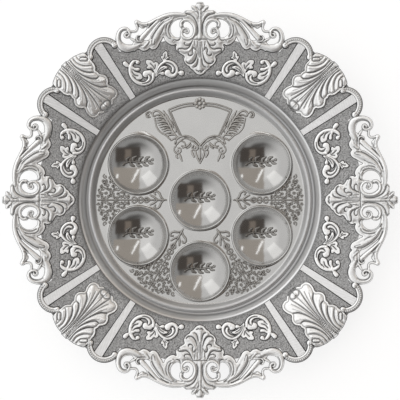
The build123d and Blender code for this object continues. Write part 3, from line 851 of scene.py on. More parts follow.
class Carving:
    """A closed solid that can be cast in several places: top on its seat, under side, walls between."""

    def __init__(self, relief, seat, under=None, finish=casting_finish, body="charger", slot="cast_silver"):
        for _ in range(BRIDGE_ROUNDS):
            u, v, on_edge, faces = snapped(relief)
            bridge(relief, faces)
        height, tarnish = carved(relief)
        height = np.where(on_edge, EDGE_SHARE * relief.plate, height)
        used, place = np.unique(faces[faces >= 0], return_inverse=True)
        top = np.full(faces.shape, -1)
        top[faces >= 0] = place.reshape(-1)
        self.u, self.v, self.height = [grid.reshape(-1)[used] for grid in (u, v, height)]
        self.tarnish = np.concatenate([tarnish.reshape(-1)[used], np.full(len(used), UNDER_DARK)])
        self.top_z = seat(self.u, self.v) + self.height
        self.low_z = (under or seat)(self.u, self.v)
        low = np.where(top >= 0, top + len(used), -1)
        start, end = open_edges(top)
        walls = np.column_stack([end, start, start + len(used), end + len(used)])
        self.faces = np.vstack([top, reversed_faces(low), walls])
        self.finish, self.body, self.slot = finish, body, slot

    def cast(self, name, nodes=(), angle=0.0, flip=False, at=(0.0, 0.0)):
        """One copy: mirrored if asked, turned clockwise about the plate's axis, then moved."""
        across = -self.u if flip else self.u
        c, s = math.cos(math.radians(angle)), math.sin(math.radians(angle))
        plan = np.stack([across * c + self.v * s + at[0], self.v * c - across * s + at[1]], -1)
        points = np.vstack([np.column_stack([plan, self.top_z]), np.column_stack([plan, self.low_z])])
        faces = reversed_faces(self.faces) if flip else self.faces
        return make_piece(name, points, faces, self.body, self.finish, CAST_SHARP,
                          self.tarnish, nodes)


def field_seat(u, v):
    """Castings on the rim follow the field's slope."""
    return field_z(np.hypot(u, v))


print("seat at the recess edge:", float(field_seat(0.0, RECESS_R)), "mm")

# %% [markdown]
# ## The cartouches
# The four crests are the richest castings: a leafy finial on a waisted stem, C-scrolls, a wing of
# acanthus leaves that ends in a tail volute, and a palmette that points inwards. A founder would saw the
# outline and the openings from the cast plate and chase the veins with a punch, and the drawing follows
# that order: outline, openings, raised bands, cut lines. Coordinates are (across, outwards from the
# plate's centre) and, for bands and cuts, a half-width. Only the right half is drawn; the grid mirrors it.

# %% Outline and openings of a cartouche
CREST_OUTLINE = [
    (-2, 197.6), (2.4, 197.6), (3.5, 195.8), (4.4, 194), (6.2, 193.9), (8.2, 193.9), (8.5, 192.6),
    (7.1, 190.5), (9.6, 189.2), (13.8, 189.2), (15.6, 187.5), (16.9, 186.5), (20, 187.1), (25, 187.4),
    (30, 187), (35, 185.8), (40, 183.8), (45, 181.3), (50.1, 178.7), (54.7, 177.2), (58.8, 177.4),
    (61, 178.6), (62, 176), (61.4, 174.2), (60, 173.2), (57.6, 171.7), (55.2, 172.5), (53.9, 173.6),
    (52.9, 172), (54.3, 169.6), (57.2, 166.7), (60.1, 163.8), (61.6, 160.4), (64, 159), (67, 157),
    (68, 152), (66, 148.8), (64.3, 149.6), (62.6, 150.6), (61.1, 151.1), (59.4, 150.2), (56.8, 149),
    (53.4, 149.6), (51.4, 150.9), (50.1, 152), (48.8, 150.9), (47.4, 150.4), (44.7, 151), (42.2, 153.3),
    (40.5, 156.7), (38.2, 160.4), (36.5, 163), (35.2, 160.4), (32.4, 157.2), (29.7, 155.5), (26.4, 154.8),
    (23.7, 155.7), (24.3, 153), (23.6, 150), (21, 147.4), (18, 145.6), (15.6, 143.5), (16.3, 140.4),
    (15, 137.4), (13, 135.1), (10.5, 133.6), (9.5, 131.8), (7, 130.2), (5.4, 128.4), (3, 126.2),
    (0, 125.3), (-2, 125.4),
]
CREST_OPENINGS = [
    [(6.9, 170), (7.8, 173.6), (10, 176.6), (12.8, 178.3), (15.2, 177.7), (16.5, 175.8), (16.2, 173.6),
     (14.4, 172.4), (12, 171.5), (10.6, 169.5), (10.9, 167.3), (12.8, 166.1), (14.9, 166.6),
     (16.3, 167.4), (16.6, 165.4), (15.2, 163.4), (12.4, 162.6), (9.6, 163.5), (7.6, 166.4), (6.9, 170)],
    [(17.6, 181), (20, 180.6), (23.6, 179.6), (27, 177.2), (29, 173.6), (29.3, 169.8), (28, 166.2),
     (25.2, 163.6), (22, 162.6), (20.4, 163.6), (20, 166.6), (19.4, 169.6), (18.2, 171.2), (19.6, 172),
     (20.6, 174), (20.4, 176.8), (19, 179.4), (17.6, 181)],
    [(31.4, 182.7), (34.4, 181.6), (38, 179.5), (41.8, 175.6), (45.9, 170.1), (49.3, 165), (50.5, 161.3),
     (53, 159.8), (56.2, 160.8), (54.7, 163.3), (51.3, 167.5), (47.6, 171.4), (44, 175.3), (40.5, 178.4),
     (36, 181.3), (31.4, 182.7)],
]
print("crest outline:", len(CREST_OUTLINE), "points,", len(CREST_OPENINGS), "openings a side")

# %% Raised bands of a cartouche: crest height, plain border, path
CREST_BANDS = [
    (1.1, 0, [(0, 184, 0.8), (0, 190, 1.8), (0, 194, 2.6), (0, 195.6, 2.0)]),
    (1.0, 0, [(1.6, 184, 1.0), (3.4, 188.6, 1.3), (5.6, 191.6, 1.2), (7.4, 192.8, 0.7)]),
    (1.0, 0, [(3.4, 182, 1.4), (6.4, 186, 1.7), (10, 187.4, 1.5), (13.8, 187.4, 1.2)]),
    (1.2, 0, [(0, 162.6, 2.6), (0, 166, 1.9), (0, 172, 1.6), (0, 178, 1.9), (0, 184, 2.0)]),
    (1.2, 0.3, [(18.6, 174.2, 1.6), (19, 176.8, 1.4), (16.8, 179.2, 1.4), (12.6, 180.2, 1.6),
                (8.4, 178.6, 1.8), (5.6, 174.6, 1.7), (5.1, 169.6, 1.6), (6.4, 164.6, 1.5),
                (9.6, 161.8, 1.3), (13.6, 161.4, 1.3), (17, 163.6, 1.2), (18.4, 167, 1.1),
                (17.6, 170.2, 1.0), (15, 171.8, 0.9), (12.2, 170.8, 0.8), (11.4, 168.4, 0.8),
                (12.8, 166.9, 0.8), (14.4, 167.8, 0.8)]),
    (1.3, 0.3, [(14, 184.8, 1.0), (20, 185.4, 1.5), (28, 185.2, 1.8), (36, 183.4, 1.9), (44, 179.8, 2.0),
                (50, 176.8, 1.8), (55, 175.6, 1.4), (59, 176, 1.3), (62, 177.4, 1.6)]),
    (1.5, 0.3, [(63.2, 177.8, 2.1), (63.4, 177.2, 2.0)]),
    (1.1, 0.3, [(34, 182.4, 0.6), (41, 179.4, 1.0), (46.4, 175, 1.7), (51.4, 169.6, 2.2),
                (55.6, 164.8, 2.4), (58.4, 161.6, 2.2)]),
    (1.1, 0.3, [(57.6, 159.4, 1.2), (61, 158.8, 1.2), (63.4, 160.6, 1.1), (62.8, 163.2, 1.0),
                (61.4, 164.2, 0.8)]),
    (1.0, 0.3, [(63.2, 175.4, 1.2), (62.6, 171.6, 1.1), (64.2, 168.9, 1.1), (67, 168.4, 1.1),
                (70, 168.8, 1.1)]),
    (1.3, 0.8, [(60, 155.5, 1.6), (66, 152.8, 2.6), (72.4, 151.6, 3.6), (78, 153.4, 3.4),
                (81.2, 158, 2.4), (81.7, 164, 1.8), (79.6, 169.2, 1.5), (75.2, 171.2, 1.4),
                (71.4, 169.2, 1.2), (70.6, 165.2, 1.0), (72.6, 163.1, 0.9), (74.8, 164, 0.9),
                (74.4, 166, 0.9), (72.8, 166.2, 0.7)]),
    (0.9, 0.3, [(63, 158.4, 1.0), (67, 160.2, 1.3), (70.4, 162.4, 0.6)]),
    (0.9, 0, [(51.4, 158, 1.2), (53.8, 155, 1.8), (56.4, 153.2, 1.4)]),
    (1.3, 0, [(28, 180.4, 1.2), (35, 175.4, 2.2), (40.2, 169.4, 3.0), (44, 162.6, 3.0),
              (46.4, 156.8, 1.7)]),
    (1.0, 0, [(24, 181, 0.9), (29.6, 177, 1.3), (32.4, 171.4, 1.4), (32.4, 166, 1.4),
              (30.4, 162.4, 1.2)]),
    (0.9, 0, [(21.4, 160.8, 0.9), (25, 160.6, 1.3), (28.6, 162, 1.3)]),
    (1.2, 0, [(0, 158, 1.4), (0, 146, 1.4), (0, 136, 2.2), (0, 130.6, 3.0)]),
    (1.0, 0, [(2.2, 152, 0.8), (2.8, 144, 1.1), (4.6, 138, 1.6), (7.4, 134.6, 1.6)]),
    (1.1, 0, [(3.8, 156, 1.0), (5.6, 147.6, 1.6), (8.6, 141.6, 2.4), (11.4, 139.4, 2.2)]),
    (1.1, 0, [(7.4, 156, 1.0), (10.4, 150, 1.8), (15, 148.8, 2.0), (20, 149.8, 1.6)]),
    (0.9, 0, [(7.4, 158.8, 0.8), (11.4, 156.8, 1.4), (14.4, 156.6, 1.2)]),
]
print("crest bands:", len(CREST_BANDS))

# %% Cut lines of a cartouche: darkness, path
CREST_CUTS = [
    (0.75, [(13, 186, 0.4), (9, 184.6, 0.5), (6.4, 182.6, 0.6), (4.4, 179.4, 0.6), (3, 176, 0.6),
            (2.4, 172, 0.7), (2.3, 168, 0.7), (3.2, 164.6, 0.5)]),
    (0.7, [(0, 160.7, 0.5), (7, 160.6, 0.45)]),
    (0.6, [(0, 196.3, 0.4), (2.4, 196.3, 0.4)]),
    (0.6, [(0.4, 189.4, 0.4), (2.2, 191.4, 0.4), (4.2, 193.4, 0.4)]),
    (0.6, [(0.9, 181, 0.4), (1.7, 185.6, 0.4), (3, 187.8, 0.5), (4.6, 188.2, 0.4)]),
    (0.6, [(5.4, 189.8, 0.3), (7.8, 191.8, 0.5)]),
    (0.6, [(13.6, 188.6, 0.4), (15, 187.6, 0.4), (13.8, 186.8, 0.4)]),
    (0.65, [(16.4, 178.2, 0.4), (17.6, 176.4, 0.5), (16.8, 174, 0.5), (18.2, 172.6, 0.4)]),
    (0.6, [(24, 181.3, 0.3), (28, 178.4, 0.5), (30.8, 173, 0.5), (30.9, 167.6, 0.5), (29, 163.6, 0.4)]),
    (0.6, [(33, 175, 0.3), (33.9, 170, 0.4), (33.2, 165, 0.5), (31.2, 161.8, 0.5), (29, 161, 0.4)]),
    (0.6, [(34.6, 175.6, 0.3), (36.6, 171.6, 0.4), (38, 167.4, 0.5), (40, 164.4, 0.4)]),
    (0.7, [(36, 178.4, 0.3), (40, 174.6, 0.5), (43.4, 170, 0.6), (46.4, 165.4, 0.6), (48.4, 161.2, 0.5)]),
    (0.6, [(44.6, 160.6, 0.4), (45.4, 157, 0.5), (46.8, 154.8, 0.5), (47.9, 156, 0.4),
           (48.3, 159.6, 0.3)]),
    (0.6, [(50.6, 158.6, 0.4), (51.6, 155.8, 0.5), (53.4, 154, 0.5)]),
    (0.5, [(56.4, 154.8, 0.4), (59, 154, 0.4), (61, 154.4, 0.3)]),
    (0.75, [(43, 180, 0.3), (46.4, 177.2, 0.5), (49.6, 174.2, 0.6), (51.6, 172, 0.5)]),
    (0.6, [(51.8, 176, 0.4), (52.8, 173.4, 0.4), (54.6, 173.6, 0.3), (57, 172.4, 0.3)]),
    (0.65, [(56.6, 159.8, 0.4), (60, 159.3, 0.5), (62.2, 160.8, 0.5), (61.8, 163, 0.5),
            (60.6, 163.8, 0.4)]),
    (0.55, [(58.6, 157.4, 0.4), (62.4, 157.8, 0.4), (64.4, 160, 0.4)]),
    (0.65, [(19.4, 163.6, 0.3), (20.2, 161, 0.5), (22.6, 159.7, 0.5), (25.2, 160.2, 0.4),
            (27.2, 158.8, 0.3)]),
    (0.65, [(73, 170.4, 0.3), (76.8, 169.6, 0.4), (79.6, 166, 0.5), (80, 160.6, 0.4), (78, 156.6, 0.3)]),
    (0.88, [(8, 158.6, 0.4), (9.2, 156, 0.5), (11.4, 154.6, 0.5), (14.4, 154.8, 0.4), (15.7, 156.4, 0.4),
            (14.6, 157.6, 0.3)]),
    (0.93, [(7.4, 159.4, 0.4), (9.6, 155, 0.5), (11, 152.6, 0.5), (14, 151, 0.5), (18, 151.6, 0.5),
            (21, 151.4, 0.5), (22, 149.8, 0.4), (20.4, 148, 0.3)]),
    (0.98, [(4.8, 150.6, 0.6), (5.6, 152.2, 0.5), (7, 151.6, 0.5), (7.6, 149, 0.4), (7, 146.4, 0.4),
            (9, 144.6, 0.5), (11.2, 145, 0.7), (11.6, 146.4, 0.5)]),
    (1, [(2.8, 146.6, 0.4), (4.2, 141.4, 0.7), (6.4, 138, 0.7), (9, 136.6, 0.6), (12, 137, 0.5),
         (13.7, 138.8, 0.4)]),
    (0.98, [(1.8, 141, 0.3), (2.6, 136.6, 0.5), (4, 133.8, 0.6), (5.8, 133, 0.4)]),
    (0.68, [(0, 158, 0.5), (0, 148, 0.8), (0, 143, 0.6)]),
    (0.98, [(0, 129.4, 0.4), (1.4, 128.9, 0.6), (2.6, 129.4, 0.6), (3.6, 130, 0.3)]),
    (0.68, [(2.2, 158.6, 0.3), (2.6, 150, 0.4), (2.4, 147, 0.3)]),
    (0.68, [(5.4, 159, 0.3), (4.8, 154.6, 0.4), (3.6, 149, 0.3)]),
]
print("crest cuts:", len(CREST_CUTS))

# %% Carve and set the cartouches
CAST_PLATE = 1.6
CAST_STEP = 0.42
CAST_BORDER = 0.5
FINIAL_R = 197.9
FREE_OUTLINE = 0.35
CREST_BOX = (-87, 122), (87, 199)
CREST_TONE = 0.18
CREST_PILLOW = 0.7

crest = Relief(*CREST_BOX, CAST_STEP, CAST_PLATE, CREST_TONE, CREST_PILLOW, mirrored=True)
crest.area(CREST_OUTLINE, CAST_BORDER)
crest.inside = np.minimum(crest.inside, FINIAL_R - crest.v)
for outline in CREST_OPENINGS:
    crest.area(outline, hole=True)
for band in CREST_BANDS:
    crest.stroke(*band)
for line_cut in CREST_CUTS:
    crest.cut(*line_cut)
over_field = edge_radius(np.degrees(np.arctan2(crest.u, crest.v))) - np.hypot(crest.u, crest.v)
crest.outlined = FREE_OUTLINE + (1 - FREE_OUTLINE) * ease(over_field / 2.0)
cartouche_carving = Carving(crest, field_seat)
for quarter, cardinal in enumerate(CARDINALS):
    cartouche_carving.cast("crest_" + cardinal, ["cartouche_" + cardinal], 90.0 * quarter)
print("cartouche:", len(cartouche_carving.faces), "faces, relief", round(crest.rise.max(), 2), "mm")

# %% [markdown]
# ## The shells
# A shell sits on each diagonal. Its ribs gather at the knob on the edge and fan out to a scalloped
# border; the outer ribs start at the lip and bend sideways. Under the ribs the shell is crowned, and it
# folds down over the edge of the dish, so its seat isn't the field but a curve of its own. Here the
# second coordinate counts outwards from the root of the ribs.

# %% Outline, bands and cuts of a shell
SHELL_OUTLINE = [
    (-2, -59.6), (0, -59.6), (4, -59.2), (7.4, -57.8), (9.7, -55.8), (11.4, -56.4), (13.6, -56.1),
    (16.7, -55), (18.9, -51.3), (18.5, -46.2), (17, -41.6), (19.3, -39.3), (21.2, -35.5), (20.8, -31.6),
    (18.2, -27.9), (18.4, -25.5), (17.7, -22.9), (19.9, -20.6), (21.3, -17.4), (21.6, -14), (22.2, -9),
    (22.2, -4), (21.6, -2), (19.2, -0.4), (15, 1.4), (11.4, 2.6), (7, 3.3), (3.4, 3.7), (2.8, 5),
    (0, 5.2), (-2, 5.2),
]
SHELL_BANDS = [
    (0.8, [(0, 3, 1.2), (0, -20, 1.0), (0, -36, 1.6), (0, -46, 2.4)]),
    (0.9, [(2.2, 0, 0.8), (2.4, -16, 1.0), (5.2, -33, 1.9), (11.6, -47, 2.6), (13.6, -50.6, 2.2)]),
    (0.9, [(3.6, 2.4, 0.9), (3.4, -12, 1.1), (6.6, -25, 1.9), (14.2, -34, 2.6), (16.8, -35.4, 1.9)]),
    (0.8, [(5.6, 3.0, 0.9), (5.0, -8, 1.1), (8.0, -18.6, 1.6), (13.6, -25, 1.5)]),
    (0.9, [(8.4, 2.4, 1.0), (7.8, -5, 1.2), (10.6, -12, 1.7), (16.4, -17.4, 1.9)]),
    (0.8, [(12.2, 1.2, 1.0), (12, -3, 1.2), (14.4, -8, 1.4), (18, -12.6, 1.3)]),
    (1.0, [(15.4, -4.4, 1.5), (19, -8, 1.7)]),
    (0.8, [(16.4, -0.2, 1.0), (18.6, -3.4, 1.1), (20.6, -5.4, 0.8)]),
]
SHELL_CUTS = [
    (0.6, [(0, -57.6, 0.7), (3.6, -57, 0.7), (5.7, -54.4, 0.7), (3.8, -51.6, 0.7), (0, -50.8, 0.6)]),
    (0.75, [(0, 1, 0.4), (0, -16, 0.5), (0, -34, 0.55), (0, -48, 0.4)]),
    (0.95, [(1.5, 3, 0.4), (1.3, -16, 0.6), (2.2, -30, 0.7), (3.8, -42, 0.7), (6.4, -54, 0.5)]),
    (0.6, [(1.9, -12, 0.4), (3.6, -30, 0.5), (6.4, -42, 0.5), (9, -49.4, 0.4)]),
    (0.95, [(2.6, 1, 0.4), (2.6, -14, 0.6), (4.8, -27, 0.7), (9.4, -37.6, 0.8), (14.4, -42, 0.6)]),
    (0.5, [(3.2, -20, 0.4), (7.4, -36.6, 0.4), (11.4, -45, 0.4)]),
    (0.9, [(4.4, 2, 0.4), (4.2, -12, 0.6), (7.2, -22, 0.8), (12, -28.8, 0.7), (15.6, -29.4, 0.5)]),
    (0.5, [(5, -17, 0.3), (9, -27.6, 0.4), (13.6, -32.8, 0.3)]),
    (0.85, [(6.8, 2.4, 0.4), (6.2, -6, 0.6), (8.6, -14.6, 0.8), (12, -20, 0.7), (15, -22.6, 0.5)]),
    (0.7, [(10.2, 1.8, 0.4), (9.8, -4, 0.5), (12, -10, 0.6), (15.4, -14, 0.5), (18.6, -16.4, 0.4)]),
    (0.6, [(14, 0.6, 0.4), (13.6, -3, 0.4), (14.4, -6, 0.4)]),
    (0.7, [(14, -3.6, 0.4), (13.8, -5.4, 0.5), (15.4, -7.2, 0.5), (18.6, -10, 0.5), (20.6, -8.6, 0.5),
           (19.6, -6, 0.5), (17, -3.6, 0.5), (14.8, -3, 0.4)]),
    (0.7, [(2.8, 4.6, 0.4), (2.4, 1, 0.5), (1.6, -4, 0.4)]),
]
print("shell:", len(SHELL_BANDS), "bands,", len(SHELL_CUTS), "cuts")

# %% The bed of a shell
SHELL_LIP_OUT = 5.8
SHELL_LIP_DROP = 3.0
SHELL_EDGE_R = 187.15
SHELL_BED = 2.4
SHELL_CROWN = 1.5
SHELL_CROWN_IN = 22.0


def shell_seat(u, v):
    """Crowned bed: a parabola over the field, then a quarter ellipse down over the edge of the dish."""
    radius = np.hypot(u, v)
    out = radius - SHELL_R
    arch = (1 - ((out + SHELL_CROWN_IN) / SHELL_CROWN_IN) ** 2).clip(-1.6, 1.0)
    fold = np.clip(out / SHELL_LIP_OUT, 0.0, 0.985)
    drop = (SHELL_BED + SHELL_LIP_DROP) * (1 - np.sqrt(1 - fold ** 2))
    bed = SHELL_BED + np.where(out < 0, SHELL_CROWN * arch, 0.0)
    return field_z(np.minimum(radius, SHELL_R)) + bed - drop - CAST_PLATE


def shell_under(u, v):
    """The field under the shell, and the lip's lower edge outside the dish."""
    radius = np.hypot(u, v)
    return np.where(radius < SHELL_EDGE_R, field_z(radius), field_z(SHELL_R) - SHELL_LIP_DROP)


print("shell crown at", round(float(shell_seat(0.0, np.array(SHELL_R - SHELL_CROWN_IN))), 2), "mm")


# %% Carve and set the shells
SHELL_BOX = (-24, SHELL_R - 62), (24, SHELL_R + 6.5)
SHELL_TONE = 0.05
SHELL_PILLOW = 0.6
SHELL_HEM = 2.7
SHELL_HEM_DARK = 0.6
SHELL_HEM_END = 12.0
SHELL_KNOBS = [(1.2, 0.0, -54.2, 2.2), (1.3, 0.3, 2.4, 2.0)]
SHELL_TRIM = 0.6


def moved_out(path, way):
    """A drawn path with its second coordinate moved outwards."""
    return [(point[0], point[1] + way, *point[2:]) for point in path]


fan = Relief(*SHELL_BOX, CAST_STEP, CAST_PLATE, SHELL_TONE, SHELL_PILLOW, mirrored=True)
fan.area(moved_out(SHELL_OUTLINE, SHELL_R), CAST_BORDER)
for crest_height, path in SHELL_BANDS:
    fan.stroke(crest_height, 0.0, moved_out(path, SHELL_R))
for dark, path in SHELL_CUTS:
    fan.cut(dark, moved_out(path, SHELL_R))
fan.hem(SHELL_HEM, SHELL_HEM_DARK * ease((SHELL_R - SHELL_HEM_END - fan.v) / 4.0))
for crest_height, border, out, radius in SHELL_KNOBS:
    fan.ball(crest_height, border, (0.0, SHELL_R + out), radius)
fan.inside = np.minimum(fan.inside, SHELL_R + SHELL_LIP_OUT - SHELL_TRIM - np.hypot(fan.u, fan.v))
shell_carving = Carving(fan, shell_seat, shell_under)
for quarter, diagonal in enumerate(DIAGONALS):
    shell_carving.cast("fan_" + diagonal, ["shell_" + diagonal], 90.0 * quarter + 45.0)
print("shell:", len(shell_carving.faces), "faces")

# %% [markdown]
# ## The sprays
# Two scroll-and-leaf sprays lie flat on the field beside each crest. They are cut from thinner plate
# than the crests and chased with plain dark lines. The right-hand spray is drawn, and every second copy
# is mirrored.

# %% Leaves, bands and cuts of a spray
SPRAY_LEAVES = [
    [(34.2, 149.6), (36.4, 147.4), (37.8, 145.8), (37.3, 144.7), (39.2, 144), (39, 142), (37.8, 140.4),
     (36.4, 138.4), (34.2, 139.6), (33, 141.2), (31.4, 141.6), (31, 142.8), (32.2, 143.6), (32.4, 145.4),
     (32.4, 147.6), (34.2, 149.6)],
    [(41.1, 135.8), (42.4, 137.8), (44.4, 138.3), (46.2, 137.6), (47, 138.4), (48.6, 139.9), (51, 140.4),
     (53.4, 140.2), (54.4, 138.6), (53.8, 136.2), (52.4, 134.6), (53.6, 133), (53, 131.6), (51, 131.2),
     (48.8, 131), (46.6, 129.4), (45, 126.4), (43.6, 127.8), (43.2, 131), (41.8, 133.8), (41.1, 135.8)],
    [(57.2, 122), (57.8, 124.6), (59.8, 127.2), (62.9, 127.9), (65.4, 129), (68, 130.4), (69.4, 127),
     (67, 122.6), (62.6, 120.6), (59.4, 120.6), (57.2, 122)],
]
SPRAY_BANDS = [
    [(43.8, 124.4, 0.9), (42.8, 128, 1.3), (41.2, 132, 1.5), (38, 136.2, 1.6), (33.5, 138.4, 1.7),
     (28.4, 137.4, 1.7), (24.6, 133.8, 1.7), (23.4, 129.4, 1.7), (24.6, 126, 1.7), (27.6, 124.4, 1.8),
     (30.4, 125.2, 2.2)],
    [(30.8, 126.4, 3.0), (32, 127.2, 3.3)],
    [(36, 137.2, 0.9), (31.6, 136.8, 1.2), (27.8, 134.4, 1.4), (26.6, 131.2, 1.4), (27.2, 128.8, 1.2)],
    [(43.4, 126, 0.8), (40, 130, 1.5), (36, 132.6, 1.7), (33.4, 132.8, 1.1)],
    [(43.6, 125, 0.8), (40.4, 127.6, 1.1), (37.2, 126.8, 1.8)],
    [(46.8, 126.4, 1.4), (46.9, 122.6, 1.5), (49, 119.2, 1.6), (53, 116.9, 1.8), (58.4, 116.7, 2.0),
     (63.8, 119, 2.0), (67.6, 123, 1.9), (69.8, 128.4, 1.7), (69.4, 134, 1.7), (66.8, 138.2, 1.6),
     (63.6, 139.2, 1.2)],
    [(50.4, 126.8, 3.2), (54, 126.2, 3.4)],
    [(51.2, 124.4, 1.2), (50.7, 121.6, 1.2), (52.8, 118.8, 1.1), (56.6, 117.8, 0.8)],
    [(62.2, 138, 1.9), (62.3, 137.8, 1.9)],
    [(61.8, 130.8, 1.6), (65, 130.8, 1.6), (68.6, 132.6, 1.5)],
    [(18.4, 127.2, 2.5), (18.9, 127.3, 2.4)],
    [(73, 134.8, 1.9), (75, 136.6, 2.2)],
    [(20.6, 127.4, 0.8), (22.6, 128, 0.8)],
    [(70.6, 133, 0.8), (72.6, 134.4, 0.8)],
]
SPRAY_CUTS = [
    [(43.4, 126.8, 0.3), (40.6, 132, 0.5), (36.8, 135.6, 0.5), (32.6, 137.4, 0.55), (28.4, 136, 0.55),
     (25.2, 132.4, 0.55), (25, 129, 0.55), (26.6, 127.2, 0.55), (28.6, 127.4, 0.55), (29.4, 129.2, 0.5)],
    [(34.8, 145.8, 0.5), (35.2, 143, 0.5), (36.6, 141.2, 0.4)],
    [(33.4, 143, 0.3), (34.8, 141.4, 0.4)],
    [(44.6, 135, 0.5), (44.8, 132, 0.4)],
    [(49.6, 136.6, 0.5), (46.6, 133.6, 0.5), (45.4, 131.2, 0.4)],
    [(49.4, 132.2, 0.4), (46.6, 130.8, 0.4)],
    [(36, 132.4, 0.4), (39.2, 130.6, 0.5), (41.6, 128, 0.4)],
    [(38, 128.6, 0.4), (41, 127.6, 0.4), (43, 125.8, 0.3)],
    [(51.6, 125.6, 0.4), (49.4, 124.2, 0.55), (48.8, 121.4, 0.55), (50.8, 118.4, 0.55),
     (54.4, 116.9, 0.5), (57.4, 116.6, 0.4)],
    [(52.6, 124.4, 0.4), (52.6, 122.4, 0.5), (53.6, 120.8, 0.5)],
    [(67.9, 128.3, 0.5), (65.6, 125.4, 0.6), (62, 124.2, 0.5)],
    [(67.4, 124.4, 0.4), (64.6, 122, 0.5)],
    [(64.6, 138.6, 0.4), (65.6, 136.4, 0.5), (64.6, 134, 0.4)],
    [(60.6, 128.4, 0.4), (64.4, 129, 0.5), (67, 130.6, 0.4)],
    [(54.6, 118.9, 0.4), (58.6, 118.6, 0.5), (62.6, 120, 0.5), (65.6, 122.2, 0.4)],
]
print("spray:", len(SPRAY_LEAVES), "leaves,", len(SPRAY_BANDS), "bands")

# %% Carve and set the sprays
SPRAY_PLATE = 1.0
SPRAY_RISE = 0.45
SPRAY_BORDER = 0.8
SPRAY_DARK = 0.85
SPRAY_BOX = (14, 112), (79, 152)
SPRAY_STEP = 0.34
SPRAY_TONE = 0.05

twig = Relief(*SPRAY_BOX, SPRAY_STEP, SPRAY_PLATE, SPRAY_TONE, skirt=1.0)
for outline in SPRAY_LEAVES:
    twig.area(outline, CAST_BORDER)
for path in SPRAY_BANDS:
    twig.stroke(SPRAY_RISE, SPRAY_BORDER, path)
for path in SPRAY_CUTS:
    twig.cut(SPRAY_DARK, path)
spray_carving = Carving(twig, field_seat)
for number, turn, side in EIGHTHS:
    spray_carving.cast("twig_%d" % number, ["spray_%d" % number], turn, side < 0)
print("spray:", len(spray_carving.faces), "faces")

# %% [markdown]
# ## Edge mouldings and straps
# A C-shaped moulding edges the dish round the outer end of each strap: a half-round band with a fine line
# of beads and a bulb at each end. It is an arc, so its path is worked out. The straps are flat bars with
# dark, sloping sides that run towards the centre: a profile carried out along the strap.

# %% Carve and set the mouldings
MOULDING_TAIL_TURN = 80.0
MOULDING_SHELL_TURN = 66.0
BEADS = 19
BEAD_LINE = 0.5
BEAD_GAP = 0.5
BULB_LINE = -0.8
BULB_R = 3.2
MOULDING_BOX = (-21, 165), (21, 195)
MOULDING_STEP = 0.4
MOULDING_TONE = 0.08
MOULDING_HALF = 2.9
MOULDING_LINES = [1.6, -0.7]
ARC_POINTS = 12


def moulding_arc(offset, count, half_width):
    """Points of the arc about the strap's outer end, from the shell's side to the tail's side."""
    turn = np.radians(np.linspace(90.0 - MOULDING_SHELL_TURN, 90.0 + MOULDING_TAIL_TURN, count))
    reach = MOULDING_R + offset
    rows = [reach * np.cos(turn), MOULDING_REACH_R + reach * np.sin(turn), np.full(count, half_width)]
    return np.stack(rows, -1)


edging = Relief(*MOULDING_BOX, MOULDING_STEP, CAST_PLATE, MOULDING_TONE)
edging.stroke(0.6, 0.3, moulding_arc(-0.4, ARC_POINTS, MOULDING_HALF))
bead_spots = moulding_arc(BEAD_LINE, 2 * BEADS + 1, BEAD_GAP)
for spot in bead_spots[1::2]:
    edging.ball(1.2, 0.0, spot[:2], 1.0)
for spot in bead_spots[2:-2:2]:
    edging.cut(0.5, [spot, spot + (DOT, 0.0, 0.0)])
for spot in moulding_arc(BULB_LINE, 2, 1.0):
    edging.ball(1.5, 0.4, spot[:2], BULB_R)
for offset in MOULDING_LINES:
    edging.cut(0.45, moulding_arc(offset, ARC_POINTS, 0.4))
moulding_carving = Carving(edging, field_seat)
for number, turn, side in EIGHTHS:
    moulding_carving.cast("edging_%d" % number, ["edge_moulding_%d" % number], turn + side * STRAP_ANGLE,
                          side < 0)
print("moulding:", len(moulding_carving.faces), "faces")

# %% Draw the straps
STRAP_OUT_R = 186.2
STRAP_IN_GAP = 1.2
STRAP_STEPS = 40
STRAP_SHARP = 40.0
STRAP_ACROSS = np.array([-1.0, -0.99, -0.83, -0.8, 0.8, 0.83, 0.99, 1.0])
STRAP_PROFILE = np.array([0.0, 0.15, 0.85, 1.0, 1.0, 0.85, 0.15, 0.0])
STRAP_DARK = np.array([1.0, 1.0, 0.7, 0.0, 0.0, 0.7, 1.0, 1.0])


def strap_bar(angle):
    """Bar between two radii: across it, foot, sloping side and flat top; both ends closed."""
    out = np.linspace(RECESS_R + STRAP_IN_GAP, STRAP_OUT_R, STRAP_STEPS)
    turn = math.radians(angle) + STRAP_ACROSS * math.radians(STRAP_SPREAD / 2)
    plan = np.stack([out[:, None] * np.sin(turn), out[:, None] * np.cos(turn)], -1)
    points = np.dstack([plan, field_z(out)[:, None] + STRAP_PROFILE])
    count = len(STRAP_ACROSS)
    number = np.arange(STRAP_STEPS * count).reshape(STRAP_STEPS, count)
    top = grid_faces(STRAP_STEPS, count, closed=False)[:, ::-1]
    floor = np.column_stack([number[:-1, 0], number[1:, 0], number[1:, -1], number[:-1, -1]])
    corners = np.array([[i, i + 1, count - 2 - i, count - 1 - i] for i in range(count // 2 - 1)])
    faces = np.vstack([top, floor, number[0][corners[:, ::-1]], number[-1][corners]])
    return points.reshape(-1, 3), faces


for number, turn, side in EIGHTHS:
    strap_points, strap_faces = strap_bar(turn + side * STRAP_ANGLE)
    make_piece("bar_%d" % number, strap_points, strap_faces, "charger", strap_finish,
               STRAP_SHARP, np.tile(STRAP_DARK, STRAP_STEPS), ["strap_%d" % number])
print("strap:", len(strap_faces), "faces")

# %% [markdown]
# ## Stamped ornament of the tray
# A die presses a frame, two leafy wings and four fans of scrollwork into the tray's floor. They rise only
# a third of a millimetre, so the same carving tools serve, with thin lines and a low plate. The dark is
# what collects between the lines. Each well holds a small leaf sprig, which follows the bowl's sphere.

